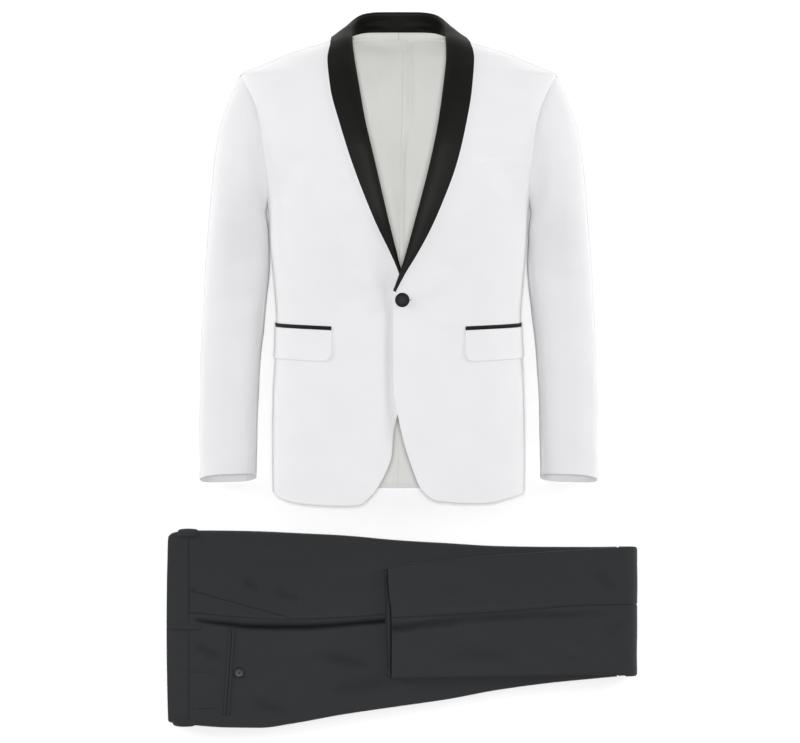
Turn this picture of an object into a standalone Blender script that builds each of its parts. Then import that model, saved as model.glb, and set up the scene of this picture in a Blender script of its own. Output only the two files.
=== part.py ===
# Tuxedo set: a shawl-collar dinner jacket lying on its back, filled out over an empty form, and the
# trousers folded on their creases and at the knee, lying below its hem. Metres, +Z up from the surface,
# +Y towards the collar, +X to the wearer's left.
import bpy
import numpy as np

# cloth
CLOTH = 0.002            # jacket cloth with its canvas
THIN = 0.0015            # trouser cloth, pocket flaps and loops
LINING = 0.001
SEAM = 0.0003            # gap between neighbouring pieces
JACKET_X = -0.0053       # the jacket's centre back in the set's frame
SET_MIDDLE = (-0.0001, -0.0009, 0.0)         # middle of the set's box in the tables' frame

# jacket form: sections across the body, each half a superellipse about the side seam's height
# columns: y, half width, back z, side z, front z
TORSO = [
    (-0.215, 0.1925, 0.000, 0.098, 0.206),
    (-0.140, 0.1935, 0.000, 0.098, 0.208),
    (-0.045, 0.1930, 0.000, 0.097, 0.210),
    (0.035, 0.1880, 0.000, 0.096, 0.212),
    (0.080, 0.1860, 0.000, 0.096, 0.214),
    (0.140, 0.1895, 0.000, 0.098, 0.221),
    (0.200, 0.1935, 0.000, 0.101, 0.230),
    (0.2558, 0.2015, 0.000, 0.104, 0.236),
    (0.335, 0.2225, 0.000, 0.106, 0.232),
    (0.395, 0.2345, 0.002, 0.104, 0.216),
    (0.4548, 0.2430, 0.008, 0.098, 0.190),
    (0.4562, 0.2400, 0.009, 0.098, 0.189),
    (0.4694, 0.2080, 0.013, 0.096, 0.178),
    (0.4874, 0.1670, 0.020, 0.094, 0.166),
    (0.5053, 0.1090, 0.030, 0.092, 0.154),
    (0.5175, 0.0785, 0.036, 0.092, 0.148),
    (0.5300, 0.0720, 0.038, 0.092, 0.140),
]
FRONT_ROUND, BACK_ROUND = 2.4, 3.5
SETTLE = 0.0015          # how far the back is pressed flat on the surface

# hem: columns: angle round the body in degrees (0 centre back, 90 side), y
HEM_OVER = [(0, -0.1845), (60, -0.1845), (90, -0.1880), (114, -0.1923), (127, -0.1972),
            (144, -0.2028), (155, -0.2025), (165, -0.2000)]
HEM_UNDER = [(0, -0.1845), (60, -0.1845), (90, -0.1850), (120, -0.1985), (140, -0.2045),
             (160, -0.2065), (165, -0.2063)]

# front edge from the rounded quarter up to the break of the lapel; columns: y, x towards the piece's own side
EDGE_OVER = [(-0.1998, 0.0630), (-0.1957, 0.0504), (-0.1871, 0.0402), (-0.1783, 0.0326), (-0.1639, 0.0263),
             (-0.1467, 0.0200), (-0.1164, 0.0099), (-0.0728, -0.0003), (-0.0455, -0.0063), (-0.0197, -0.0085),
             (0.0500, -0.0085), (0.1160, -0.0083)]
EDGE_UNDER = [(-0.2063, 0.0690), (-0.2048, 0.0584), (-0.1942, 0.0447), (-0.1859, 0.0371), (-0.1707, 0.0268),
              (-0.1472, 0.0154), (-0.1305, 0.0103), (-0.0950, 0.0070), (-0.0450, -0.0050), (0.0000, -0.0170),
              (0.1000, -0.0180), (0.1160, -0.0170)]

# shawl collar; columns: roll x, roll y, edge x, edge y, stand height, bow of the leaf
LAPEL_OVER = [
    (0.0747, 0.5000, 0.1162, 0.4890, 0.014, 0.0050),
    (0.0743, 0.4790, 0.1160, 0.4700, 0.013, 0.0050),
    (0.0697, 0.4345, 0.1112, 0.4250, 0.012, 0.0048),
    (0.0610, 0.3772, 0.1010, 0.3665, 0.012, 0.0045),
    (0.0481, 0.3221, 0.0872, 0.3105, 0.012, 0.0042),
    (0.0354, 0.2660, 0.0680, 0.2585, 0.012, 0.0036),
    (0.0248, 0.2200, 0.0475, 0.2120, 0.011, 0.0028),
    (0.0142, 0.1778, 0.0255, 0.1725, 0.009, 0.0018),
    (0.0065, 0.1522, 0.0120, 0.1475, 0.007, 0.0012),
    (-0.0045, 0.1190, -0.0015, 0.1170, 0.005, 0.0008),
]
LAPEL_UNDER = [
    (0.0731, 0.5000, 0.1085, 0.4890, 0.014, 0.0050),
    (0.0700, 0.4790, 0.1078, 0.4700, 0.013, 0.0048),
    (0.0610, 0.4345, 0.1025, 0.4265, 0.012, 0.0046),
    (0.0500, 0.3772, 0.0840, 0.3680, 0.012, 0.0042),
    (0.0370, 0.3221, 0.0612, 0.3130, 0.012, 0.0036),
    (0.0257, 0.2660, 0.0420, 0.2600, 0.011, 0.0028),
    (0.0155, 0.2200, 0.0258, 0.2170, 0.009, 0.0018),
    (0.0045, 0.1778, 0.0095, 0.1760, 0.007, 0.0012),
    (-0.0010, 0.1560, 0.0020, 0.1555, 0.005, 0.0008),
    (-0.0085, 0.1330, -0.0055, 0.1320, 0.005, 0.0008),
]
# round the neck, from the centre back; columns: roll x, y, z, edge angle in degrees, edge y, angle in degrees
# and y of the stand's seam, bow
COLLAR = [
    (0.0000, 0.5510, 0.0450, 0.0, 0.5126, 0.0, 0.5222, 0.0020),
    (0.0300, 0.5505, 0.0470, 10.5, 0.5122, 12.6, 0.5220, 0.0020),
    (0.0500, 0.5475, 0.0530, 31.5, 0.5110, 33.0, 0.5207, 0.0025),
    (0.0625, 0.5410, 0.0660, 54.0, 0.5085, 55.0, 0.5188, 0.0035),
    (0.0700, 0.5325, 0.0860, 76.0, 0.5060, 84.0, 0.5172, 0.0055),
    (0.0742, 0.5205, 0.1120, 96.0, 0.5035, 105.0, 0.5145, 0.0065),
]
FOLD_R = 0.0030          # half the distance between the leaf's and the stand's middle surfaces
NECK_EASE = 0.0022       # how much further the leaf stands off round the back of the neck
STAND_LEAN = 0.0014      # how much deeper than the fold the stand's lower edge lies
COLLAR_STATIONS = 31

# how far the fronts' lower layer is pressed in where the upper one crosses it; columns: y, depth
PRESSED = [(-0.215, 0.0030), (0.020, 0.0030), (0.090, 0.0094), (0.160, 0.0094), (0.240, 0.0010), (0.300, 0.0)]
PRESSED_FROM, PRESSED_TO = 0.055, 0.012

# armhole ring: a superellipse seen from the side
BACK_NECK, SIDE_NECK = 0.5225, 0.5175
ARM_Y, ARM_HALF, ARM_FRONT, ARM_BACK, ARM_ROUND = 0.3553, 0.0995, 0.066, 0.064, 2.4
FRONT_SEAM, BACK_SEAM = 154.5, 244.5    # ring angles of the side body's seams, from the shoulder forwards
FRONT_ANGLE, BACK_ANGLE = 100.8, 68.4   # the same seams' angles round the body
FRONT_STEPS, SIDE_STEPS, BACK_STEPS = 10, 6, 8
SEAM_ROWS = [  # heights of the panels' rows; columns: front seam, back seam, front edge
    (-0.184, -0.170, -0.1957), (-0.175, -0.155, -0.1871), (-0.165, -0.137, -0.1783),
    (-0.150, -0.115, -0.1639), (-0.130, -0.090, -0.1467), (-0.105, -0.060, -0.1164),
    (-0.065, -0.020, -0.0728), (-0.020, 0.025, -0.0197), (0.025, 0.065, 0.025), (0.065, 0.105, 0.065),
    (0.105, 0.145, 0.108), (0.155, 0.195, 0.158), (0.180, 0.219, 0.183), (0.205, 0.242, 0.208),
    (0.240, 0.280, 0.250),
]
# inner ends of the fronts' upper rows, from the armhole's lowest step to the shoulder; columns: share, y
FRONT_TOP = [(0, 0.280), (0.3, 0.364), (0.6, 0.452), (0.7, 0.481), (0.8, 0.502), (0.9, 0.5130),
             (1, SIDE_NECK)]

# how the sleeve leaves the ring; columns: ring angle, x, y, z
CAP_START = [
    (0, 0.38, -0.92, 0.00), (60, 0.78, -0.52, 0.34), (90, 0.92, -0.25, 0.30), (135, 0.90, -0.40, 0.12),
    (180, 0.80, -0.60, 0.00), (225, 0.90, -0.40, -0.12), (270, 0.92, -0.25, -0.30), (300, 0.78, -0.52, -0.34),
    (360, 0.38, -0.92, 0.00),
]
# sleeve sections below the cap; columns: y, inner x, outer x, low z, high z
SLEEVE = [
    (-0.162, 0.2205, 0.3088, -0.0010, 0.0920),
    (-0.080, 0.2190, 0.3085, -0.0010, 0.0940),
    (0.0150, 0.2140, 0.3067, -0.0010, 0.1010),
    (0.0775, 0.2075, 0.3037, -0.0005, 0.1080),
    (0.1640, 0.1995, 0.2985, 0.0110, 0.1280),
    (0.2150, 0.1990, 0.2935, 0.0260, 0.1500),
]
SLEEVE_ROUND = 2.2
CUFF_SLANT = 0.0138      # the cuff's back edge reaches this much lower than its front edge
SLEEVE_ROWS = [0.175, 0.125, 0.070, 0.010, -0.050, -0.105, -0.135, -0.161]
FOREARM_STEP = 10        # ring step of the seam between top sleeve and under sleeve

# pockets of the jacket
FLAP_START, FLAP_LENGTH, FLAP_TOP, FLAP_RISE = 0.1015, 0.152, 0.0600, 0.0075
FLAP_DEEP, FLAP_CORNER = 0.0475, 0.012
FLAP_FALL = 0.0012       # how much further a flap's lower edge stands off than its upper one
JET_HIGH = 0.006
LAID = 0.0007            # how far flaps, jets and welts lie off the panel under them
WELT_START, WELT_LENGTH, WELT_TOP, WELT_RISE, WELT_DEEP = 0.1144, 0.098, 0.3165, 0.0060, 0.022
BUTTON_X, BUTTON_Y, BUTTON_R = 0.0058, 0.1061, 0.011
# covered button: a shank, a rolled lower edge and a soft dome; columns: share of the radius, height
BUTTON = [(0, 2 * SEAM), (0.30, 2 * SEAM), (0.26, 0.0018), (0.80, 0.0020), (0.97, 0.0027), (1, 0.0036),
          (0.94, 0.0047), (0.72, 0.0057), (0.38, 0.0063), (0, 0.0065)]

# folded trousers from above: the thighs; columns: x, y of the front crease edge, y of the back edge,
# thickness of the stack of two legs
THIGH = [
    (-0.3665, -0.2610, -0.5460, 0.0200),
    (-0.3450, -0.2520, -0.5500, 0.0225),
    (-0.3170, -0.2499, -0.5535, 0.0235),
    (-0.2720, -0.2502, -0.5563, 0.0245),
    (-0.2206, -0.2513, -0.5568, 0.0250),
    (-0.1693, -0.2537, -0.5500, 0.0245),
    (-0.0916, -0.2576, -0.5361, 0.0230),
    (-0.0030, -0.2654, -0.5232, 0.0215),
    (0.0696, -0.2697, -0.5128, 0.0200),
    (0.1473, -0.2742, -0.4985, 0.0190),
    (0.2250, -0.2755, -0.4879, 0.0180),
    (0.3027, -0.2757, -0.4802, 0.0175),
    (0.3665, -0.2745, -0.4745, 0.0170),
]
# the legs folded back on top, the same columns
SHIN = [
    (-0.0300, -0.3085, -0.4794, 0.0120),
    (-0.0185, -0.3077, -0.4791, 0.0125),
    (0.0050, -0.3025, -0.4790, 0.0130),
    (0.0436, -0.2991, -0.4785, 0.0135),
    (0.1104, -0.2914, -0.4768, 0.0145),
    (0.2000, -0.2845, -0.4746, 0.0155),
    (0.2800, -0.2790, -0.4730, 0.0165),
    (0.3665, -0.2745, -0.4745, 0.0170),
]
KNEE_X = 0.3487          # where the legs start to turn over
THIGH_ROWS = [-0.3309, -0.300, -0.255, -0.215, -0.174, -0.120, -0.060, 0.0, 0.070, 0.150, 0.230, 0.300]
SHIN_ROWS = [0.300, 0.230, 0.160, 0.090, 0.030, 0.0]
TURNS = (-90, -60, -30, 0, 30, 60, 90)    # rows round the knee, in degrees
WRAP = 2.75              # how far a leg's cloth turns round its edge, in radians
BENDS = (WRAP, 2.1, 1.4, 0.7)            # places on that turn, from its end to the flat
STACK_GAP = 0.0006
HEM_X = -0.0195          # the upper leg's hem, which runs in a slow wave; columns: y, x from HEM_X
HEM_LINE = [(-0.4800, 0.0033), (-0.4040, 0.0037), (-0.3700, 0.0028), (-0.3511, 0.0000), (-0.3080, -0.0030)]
UNDER_HEM = 0.0061       # how far the other leg's hem shows beyond it
UNDER_SLANT = 0.0028     # how much that hem's back corner lags
UNDER_TOP = 0.0004       # how far it stays below the layer on it
WAIST_X, BAND_RISE = -0.3664, 0.0004     # end of the waistband, and how much thicker than the legs it is
SIDE_SEAM = [(-0.367, -0.4000), (-0.331, -0.3790), (-0.250, -0.3850), (-0.174, -0.3875), (-0.090, -0.3850),
             (-0.020, -0.3800), (0.080, -0.3730), (0.200, -0.3700), (0.3665, -0.3680)]
SHIN_SEAM = [(-0.030, -0.3860), (0.0360, -0.3830), (0.1800, -0.3740), (0.2770, -0.3660), (0.3665, -0.3645)]
SLANT = [(-0.331, -0.3430), (-0.174, -0.3856)]          # opening of the slant pocket; columns: x, y
BACK_POCKET_X, BACK_POCKET_TOP, BACK_POCKET_LONG, BACK_WELT = -0.2711, -0.4030, 0.1325, 0.0045
BACK_POCKET_LEAN = 0.0675                # how much the pocket slants: x for each y
BACK_BUTTON_X, BACK_BUTTON_Y, BACK_BUTTON_R = -0.2529, -0.4708, 0.0085
# a rim round a sunken middle; columns: share of the radius, height
BACK_BUTTON = [(0, SEAM), (0.7, SEAM), (0.97, 0.0009), (1, 0.0018), (0.93, 0.0027), (0.72, 0.0024),
               (0, 0.0021)]
LOOP_WIDE = 0.0095
LOOPS = [  # columns: name, x of both ends, y of the middle, how far it stands off
    ("belt_loop_side", -0.3625, -0.3154, -0.3990, 0.0004),
    ("belt_loop_front", -0.3500, -0.3169, -0.2545, 0.0030),
    ("belt_loop_back", -0.3590, -0.3216, -0.5470, 0.0030),
]

# colours: linear red, green, blue, roughness
LOOKS = {
    "white_wool": (0.82, 0.82, 0.83, 0.85),
    "black_satin": (0.012, 0.012, 0.011, 0.35),
    "grey_lining": (0.56, 0.56, 0.54, 0.45),
    "charcoal_wool": (0.034, 0.035, 0.037, 0.90),
    "black_button": (0.028, 0.028, 0.028, 0.40),
}


def smooth(table, at):
    # monotone cubic through the rows of a table, whose first column is the position
    table = np.asarray(table, float)
    x, y = table[:, 0], table[:, 1:]
    step = np.diff(x)[:, None]
    slope = np.diff(y, axis=0) / step
    same = slope[:-1] * slope[1:] > 0
    mean = np.where(same, 2 * slope[:-1] * slope[1:] / np.where(same, slope[:-1] + slope[1:], 1), 0)
    tangent = np.vstack([slope[:1], mean, slope[-1:]])
    at = np.clip(np.asarray(at, float), x[0], x[-1])
    i = np.clip(np.searchsorted(x, at, side="right") - 1, 0, len(x) - 2)
    f, wide = ((at - x[i]) / step[i, 0])[..., None], step[i]
    value = y[i] * (2 * f**3 - 3 * f**2 + 1) + tangent[i] * wide * (f**3 - 2 * f**2 + f)
    return value + y[i + 1] * (3 * f**2 - 2 * f**3) + tangent[i + 1] * wide * (f**3 - f**2)


def one(table, at):
    return smooth(table, at)[..., 0]


def ease(f):
    # 0 below 0, 1 above 1, and 3 f squared less 2 f cubed between
    f = np.clip(f, 0, 1)
    return f * f * (3 - 2 * f)


def power(value, exponent):
    return np.sign(value) * np.abs(value) ** exponent


def unit(v):
    return v / np.maximum(np.linalg.norm(v, axis=-1, keepdims=True), 1e-12)


def body(y, angle, under=False):
    # the jacket's outer form at height y and angle round the body: 0 centre back, pi / 2 side, pi centre
    # front; half a superellipse, x and z the powers 2 / round of the angle's sine and cosine
    half, back, side, front = np.moveaxis(smooth(TORSO, y), -1, 0)
    c, s = np.cos(angle), np.sin(angle)
    e = 2 / np.where(c < 0, FRONT_ROUND, BACK_ROUND)
    x = half * power(s, e)
    z = side + np.where(c < 0, front - side, back - side) * np.abs(c) ** e
    if under:
        z = z - one(PRESSED, y) * ease((PRESSED_FROM - x) / (PRESSED_FROM - PRESSED_TO)) * (c < 0)
    return np.stack([x, y + 0 * x, np.maximum(z - SETTLE, 0)], -1)


def outward(y, angle, under=False):
    across = body(y, angle + 1e-3, under) - body(y, angle - 1e-3, under)
    along = body(y + 1e-3, angle, under) - body(y - 1e-3, angle, under)
    return unit(np.cross(along, across))


def front_angle(x, y):
    # the angle round the body of a point of the front that lies x from the centre
    return np.pi - np.arcsin(power(np.clip(x / smooth(TORSO, y)[..., 0], -1, 1), FRONT_ROUND / 2))


def ring(angle, grown=1.0):
    # a point of the armhole as height and angle round the body; 0 shoulder, 90 front, 180 underarm, 270 back
    c, s = np.cos(np.radians(angle)), np.sin(np.radians(angle))
    y = ARM_Y + ARM_HALF * grown * power(c, 2 / ARM_ROUND)
    _, back, side, front = np.moveaxis(smooth(TORSO, y), -1, 0)
    reach = np.where(s > 0, ARM_FRONT / (front - side), ARM_BACK / (side - back))
    reach = reach * grown * np.abs(s) ** (2 / ARM_ROUND)
    turn = np.arccos(np.clip(reach, 0, 1) ** (np.where(s > 0, FRONT_ROUND, BACK_ROUND) / 2))
    return y, np.where(s > 0, np.pi - turn, turn)


def ring_steps():
    return np.concatenate([np.linspace(0, FRONT_SEAM, FRONT_STEPS + 1),
                           np.linspace(FRONT_SEAM, BACK_SEAM, SIDE_STEPS + 1)[1:],
                           np.linspace(BACK_SEAM, 360, BACK_STEPS + 1)[1:]])


def mesh_object(name, points, faces, look):
    # a closed solid from triangles, turned so that they face out
    points, faces = np.asarray(points) - SET_MIDDLE, np.asarray(faces)
    corners = points[faces]
    if np.einsum("ij,ij->", corners[:, 0], np.cross(corners[:, 1], corners[:, 2])) < 0:
        faces = faces[:, ::-1]
    mesh = bpy.data.meshes.new(name)
    mesh.from_pydata(points.tolist(), [], faces.tolist())
    mesh.materials.append(material(look))
    mesh.shade_smooth()
    obj = bpy.data.objects.new(name, mesh)
    garment.objects.link(obj)
    return obj


def halves(quads):
    # the two triangles of each quad, cut along the same diagonal on every layer of cloth
    return np.concatenate([quads[:, [0, 1, 2]], quads[:, [0, 2, 3]]])


def material(look):
    if look in bpy.data.materials:
        return bpy.data.materials[look]
    red, green, blue, rough = LOOKS[look]
    made = bpy.data.materials.new(look)
    made.use_nodes = True
    shader = made.node_tree.nodes["Principled BSDF"]
    shader.inputs["Base Color"].default_value = (red, green, blue, 1)
    shader.inputs["Roughness"].default_value = rough
    made.diffuse_color = (red, green, blue, 1)
    return made


def wall(name, outer, inner, look):
    # a closed wall between two grids of the same rows and columns
    rows, cols = outer.shape[:2]
    index = np.arange(rows * cols).reshape(rows, cols)
    top = np.stack([index[:-1, :-1], index[:-1, 1:], index[1:, 1:], index[1:, :-1]], -1).reshape(-1, 4)
    faces = [halves(top), halves(top)[:, ::-1] + rows * cols]
    for rim, turned in ((index[0], -1), (index[:, -1], -1), (index[-1], 1), (index[:, 0], 1)):
        low, high = rim[:-1], rim[1:]
        side = np.stack([low, high, high + rows * cols, low + rows * cols], -1)
        faces.append(halves(side)[:, ::turned])
    points = np.concatenate([outer.reshape(-1, 3), inner.reshape(-1, 3)])
    return mesh_object(name, points, np.concatenate(faces), look)


def tube(name, grid, look, tips=None):
    # a closed solid from rings of points, each end closed by a fan round its middle or its tip
    rows, cols = grid.shape[:2]
    index = np.arange(rows * cols).reshape(rows, cols)
    around = np.roll(index, -1, 1)
    faces = halves(np.stack([index[:-1], around[:-1], around[1:], index[1:]], -1).reshape(-1, 4))
    first = np.stack([around[0], index[0], np.full(cols, rows * cols)], -1)
    last = np.stack([index[-1], around[-1], np.full(cols, rows * cols + 1)], -1)
    faces = np.concatenate([faces, first, last])
    tips = np.stack([grid[0].mean(0), grid[-1].mean(0)]) if tips is None else tips
    return mesh_object(name, np.concatenate([grid.reshape(-1, 3), tips]), faces, look)


def spin(name, profile, size, centre, look, steps=20):
    # a round solid turned from a profile of shares of its radius and heights; its first and last share are 0
    turn = np.linspace(0, 2 * np.pi, steps, endpoint=False)
    radius, height = (np.array(profile) * (size, 1)).T[..., None]
    rings = np.stack([radius * np.cos(turn), radius * np.sin(turn), height + 0 * turn], -1) + centre
    return tube(name, rings[1:-1], look, rings[[0, -1], 0])


def pull_in(outer, inner, edges, by=SEAM / 2):
    # moves the named edges of a wall back from its seams: "b"ottom row, "t"op row, "f"irst and "l"ast column
    places = {"b": (0, 1), "t": (-1, -2), "f": (0, 1), "l": (-1, -2)}
    for edge in edges:
        at, beside = places[edge]
        view = [g if edge in "bt" else g.transpose(1, 0, 2) for g in (outer, inner)]
        shift = unit(view[0][beside] - view[0][at]) * by
        view[0][at] += shift
        view[1][at] += shift


def placed(grid, side):
    return grid * (side, 1, 1) + (JACKET_X, 0, 0)


def patch(first, last, cols, crowd=1.0):
    # rows of heights and angles between two seams; first and last are pairs of arrays. crowd over 1 brings
    # the columns closer together towards the last seam
    share = 1 - np.linspace(1, 0, cols + 1) ** crowd
    return tuple(np.outer(a, 1 - share) + np.outer(b, share) for a, b in zip(first, last))


def cap_start(angle):
    return unit(smooth(CAP_START, angle))


def ring_corner():
    # steps from the armhole's outer line to its inner line, where the body's cloth meets the sleeve's
    steps = ring_steps()
    points = body(*ring(steps))
    along = np.gradient(points, axis=0)
    along[0] = along[-1] = points[1] - points[-2]
    panel, sleeve = outward(*ring(steps, 1.04)), unit(np.cross(along, cap_start(steps)))
    return -CLOTH * (panel + sleeve) / np.maximum(1 + np.einsum("ij,ij->i", panel, sleeve), 0.35)[:, None]


def body_wall(name, side, rows, edges, look, corner=None, under=False, depth=0.0, thick=CLOTH):
    # a panel of the form; corner gives the inner steps of the rows or columns that lie on the armhole
    y, angle = rows
    point, normal = body(y, angle, under), outward(y, angle, under)
    outer, inner = point - depth * normal, point - (depth + thick) * normal
    if corner:
        place, steps = corner
        inner[place] = outer[place] + steps
    pull_in(outer, inner, edges)
    return wall(name, placed(outer, side), placed(inner, side), look)


def front_rows(hem, edge, lapel):
    # outer seam and inner edge of a front, row by row
    heights = np.array(SEAM_ROWS)
    ring_y, ring_angle = ring(ring_steps()[FRONT_STEPS::-1])
    seam_y = np.concatenate([[one(hem, FRONT_ANGLE)], heights[:, 0], ring_y])
    seam_angle = np.concatenate([np.full(len(heights) + 1, np.radians(FRONT_ANGLE)), ring_angle])
    edge = np.array(edge + [(row[1], row[0] + 0.0025 + 0.003 * (row[1] > 0.45)) for row in lapel[::-1]
                            if row[1] > edge[-1][0] + 0.02])
    upper = one(FRONT_TOP, np.linspace(0, 1, len(ring_y)))
    level = np.concatenate([[edge[0, 0]], heights[:, 2] + edge[1, 0] - EDGE_OVER[1][0], upper])
    inner_angle = front_angle(one(edge, level), level)
    inner_angle[-1] = np.pi / 2
    return (seam_y, seam_angle), (level, inner_angle)


def hemmed(rows, hem):
    # bends the lowest rows of a patch onto the hem line
    y, angle = rows
    drop = one(hem, np.degrees(angle[0])) - y[0]
    fade = ease((y[0] + 0.06 - y) / 0.06)
    return y + drop * fade, angle


def make_fronts(corner):
    # the two fronts, the wearer's left over the right, which lies lower where they overlap
    over = ("front_left", 1, False, HEM_OVER, EDGE_OVER, LAPEL_OVER)
    lower = ("front_right", -1, True, HEM_UNDER, EDGE_UNDER, LAPEL_UNDER)
    for name, side, under, hem, edge, lapel in (over, lower):
        seam, inner = front_rows(hem, edge, lapel)
        rows = hemmed(patch(seam, inner, 8, 1.6), hem)
        place = (slice(len(seam[0]) - FRONT_STEPS - 1, None), 0)
        body_wall(name, side, rows, "tf", "white_wool", (place, corner[FRONT_STEPS::-1]), under)


def make_side_bodies(corner):
    heights = np.array(SEAM_ROWS)
    ring_y, ring_angle = ring(ring_steps()[FRONT_STEPS:FRONT_STEPS + SIDE_STEPS + 1])
    for name, side, hem in (("side_body_left", 1, HEM_OVER), ("side_body_right", -1, HEM_UNDER)):
        low = np.radians([FRONT_ANGLE, BACK_ANGLE])
        ends = [np.concatenate([[one(hem, a)], heights[:, k], [ring_y[-k]]])
                for k, a in enumerate((FRONT_ANGLE, BACK_ANGLE))]
        y, angle = patch((ends[0], 0 * ends[0] + low[0]), (ends[1], 0 * ends[1] + low[1]), SIDE_STEPS)
        fade = ease(1 - (ring_y - y) / 0.15)
        y, angle = y + (ring_y - y[-1]) * fade, angle + (ring_angle - angle[-1]) * fade
        steps = corner[FRONT_STEPS:FRONT_STEPS + SIDE_STEPS + 1]
        body_wall(name, side, hemmed((y, angle), hem), "fl", "white_wool", ((-1, slice(None)), steps))


def back_rows(hem):
    # outer seam and centre back of a back panel, row by row; the top rows end along the neckline
    heights = np.array(SEAM_ROWS)[:, 1]
    ring_y, ring_angle = ring(ring_steps()[FRONT_STEPS + SIDE_STEPS:])
    seam_y = np.concatenate([[one(hem, BACK_ANGLE)], heights, ring_y])
    seam_angle = np.concatenate([np.full(len(heights) + 1, np.radians(BACK_ANGLE)), ring_angle])
    climb = np.linspace(0, 1, len(ring_y))
    turn = np.pi / 2 * ease((climb - 0.5) / 0.5)
    level = one([(0, 0.330), (0.25, 0.425), (0.50, BACK_NECK), (1, BACK_NECK)], climb)
    level = np.concatenate([[hem[0][1]], heights, level - (BACK_NECK - SIDE_NECK) * np.sin(turn) ** 2])
    return (seam_y, seam_angle), (level, np.concatenate([0 * heights, [0], turn]))


def make_backs(corner):
    # the lining lies inside the back panels' points, short of the hem, the side seams and the armholes
    for hand, side, hem in (("left", 1, HEM_OVER), ("right", -1, HEM_UNDER)):
        seam, centre = back_rows(hem)
        y, angle = hemmed(patch(seam, centre, 7), hem)
        place = (slice(len(seam[0]) - BACK_STEPS - 1, None), 0)
        steps = corner[FRONT_STEPS + SIDE_STEPS:]
        body_wall("back_" + hand, side, (y, angle), "tfl", "white_wool", (place, steps))
        body_wall("lining_" + hand, side, (y[1:-1, 1:], angle[1:-1, 1:]), "tl", "grey_lining",
                  depth=CLOTH + SEAM, thick=LINING)


def sleeve_section(y, angle):
    inner, outer, low, high = np.moveaxis(smooth(SLEEVE, y), -1, 0)
    c, s = np.cos(np.radians(angle)), np.sin(np.radians(angle))
    x = (inner + outer) / 2 + (outer - inner) / 2 * power(c, 2 / SLEEVE_ROUND)
    z = (high + low) / 2 + (high - low) / 2 * power(s, 2 / SLEEVE_ROUND)
    slant = CUFF_SLANT * ease((-0.05 - y) / 0.11)
    level = y - slant * (high - z) / (high - low) - 0.2 * slant * c
    return np.stack([x, level, np.maximum(z, 0)], -1)


def sleeve_grid():
    angle = ring_steps()
    top = SLEEVE[-1][0]
    start, end = body(*ring(angle)), sleeve_section(top + 0 * angle, angle)
    down = unit(sleeve_section(top - 0.03 + 0 * angle, angle) - end)
    reach = 0.35 * np.linalg.norm(end - start, axis=-1, keepdims=True)
    f = np.linspace(0, 1, 6)[:, None, None]
    cap = ((1 - f)**3 * start + 3 * (1 - f)**2 * f * (start + reach * cap_start(angle))
           + 3 * (1 - f) * f**2 * (end - reach * down) + f**3 * end)
    rows = [sleeve_section(y + 0 * angle, angle) for y in SLEEVE_ROWS]
    return np.concatenate([cap, np.array(rows)])


def make_sleeves(corner):
    grid = sleeve_grid()
    along = np.gradient(grid, axis=0)
    across = np.empty_like(grid)
    across[:, 1:-1] = grid[:, 2:] - grid[:, :-2]
    across[:, 0] = across[:, -1] = grid[:, 1] - grid[:, -2]
    normal = unit(np.cross(across, along))
    inner = grid - CLOTH * normal
    inner[0] = grid[0] + corner
    hind = FRONT_STEPS + SIDE_STEPS
    first = {"sleeve_top": np.r_[hind:len(corner) - 1, 0:FOREARM_STEP + 1],
             "sleeve_under": np.r_[FOREARM_STEP:hind + 1]}
    for name, cols in first.items():
        for hand, side in (("left", 1), ("right", -1)):
            a, b = grid[:, cols].copy(), inner[:, cols].copy()
            pull_in(a, b, "fl")
            pull_in(a, b, "b", SEAM)
            wall(name + "_" + hand, placed(a, side), placed(b, side), "white_wool")


def on_front(x, y, lift, under):
    angle = front_angle(x, y)
    return body(y, angle, under) + np.asarray(lift)[..., None] * outward(y, angle, under)


def collar_lines(lapel, under):
    # stations from the centre back to the break: roll, leaf's edge, stand's lower edge, bow, and 1 where the
    # leaf follows the front's form
    around, down = np.array(COLLAR), np.array(lapel)
    edge_at, seam_at = (around[:, 4], np.radians(around[:, 3])), (around[:, 6], np.radians(around[:, 5]))
    neck_edge = body(*edge_at) + (FOLD_R - CLOTH / 2 + NECK_EASE) * outward(*edge_at)
    neck_seam = body(*seam_at) - (FOLD_R + CLOTH + STAND_LEAN) * outward(*seam_at)
    level = 0 * down[:, 0]
    step = down[:, 4] / np.hypot(down[:, 2] - down[:, 0], down[:, 3] - down[:, 1])
    inner_x, inner_y = (down[:, :2] + (down[:, 2:4] - down[:, :2]) * step[:, None]).T
    roll = np.concatenate([around[:, :3], on_front(down[:, 0], down[:, 1], level - CLOTH / 2, under)])
    edge = np.concatenate([neck_edge, on_front(down[:, 2], down[:, 3], level + FOLD_R - CLOTH / 2, under)])
    deep = FOLD_R + CLOTH / 2 + STAND_LEAN * (down[:, 4] / down[0, 4]) ** 2
    seam = np.concatenate([neck_seam, on_front(inner_x, inner_y, -deep, under)])
    follow = (np.arange(len(roll)) >= len(around)) * 1.0
    table = np.column_stack([np.arange(len(roll)), roll, edge, seam, np.r_[around[:, 7], down[:, 5]], follow])
    return np.split(smooth(table, np.linspace(0, len(roll) - 1, COLLAR_STATIONS)), [3, 6, 9, 10], axis=1)


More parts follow.
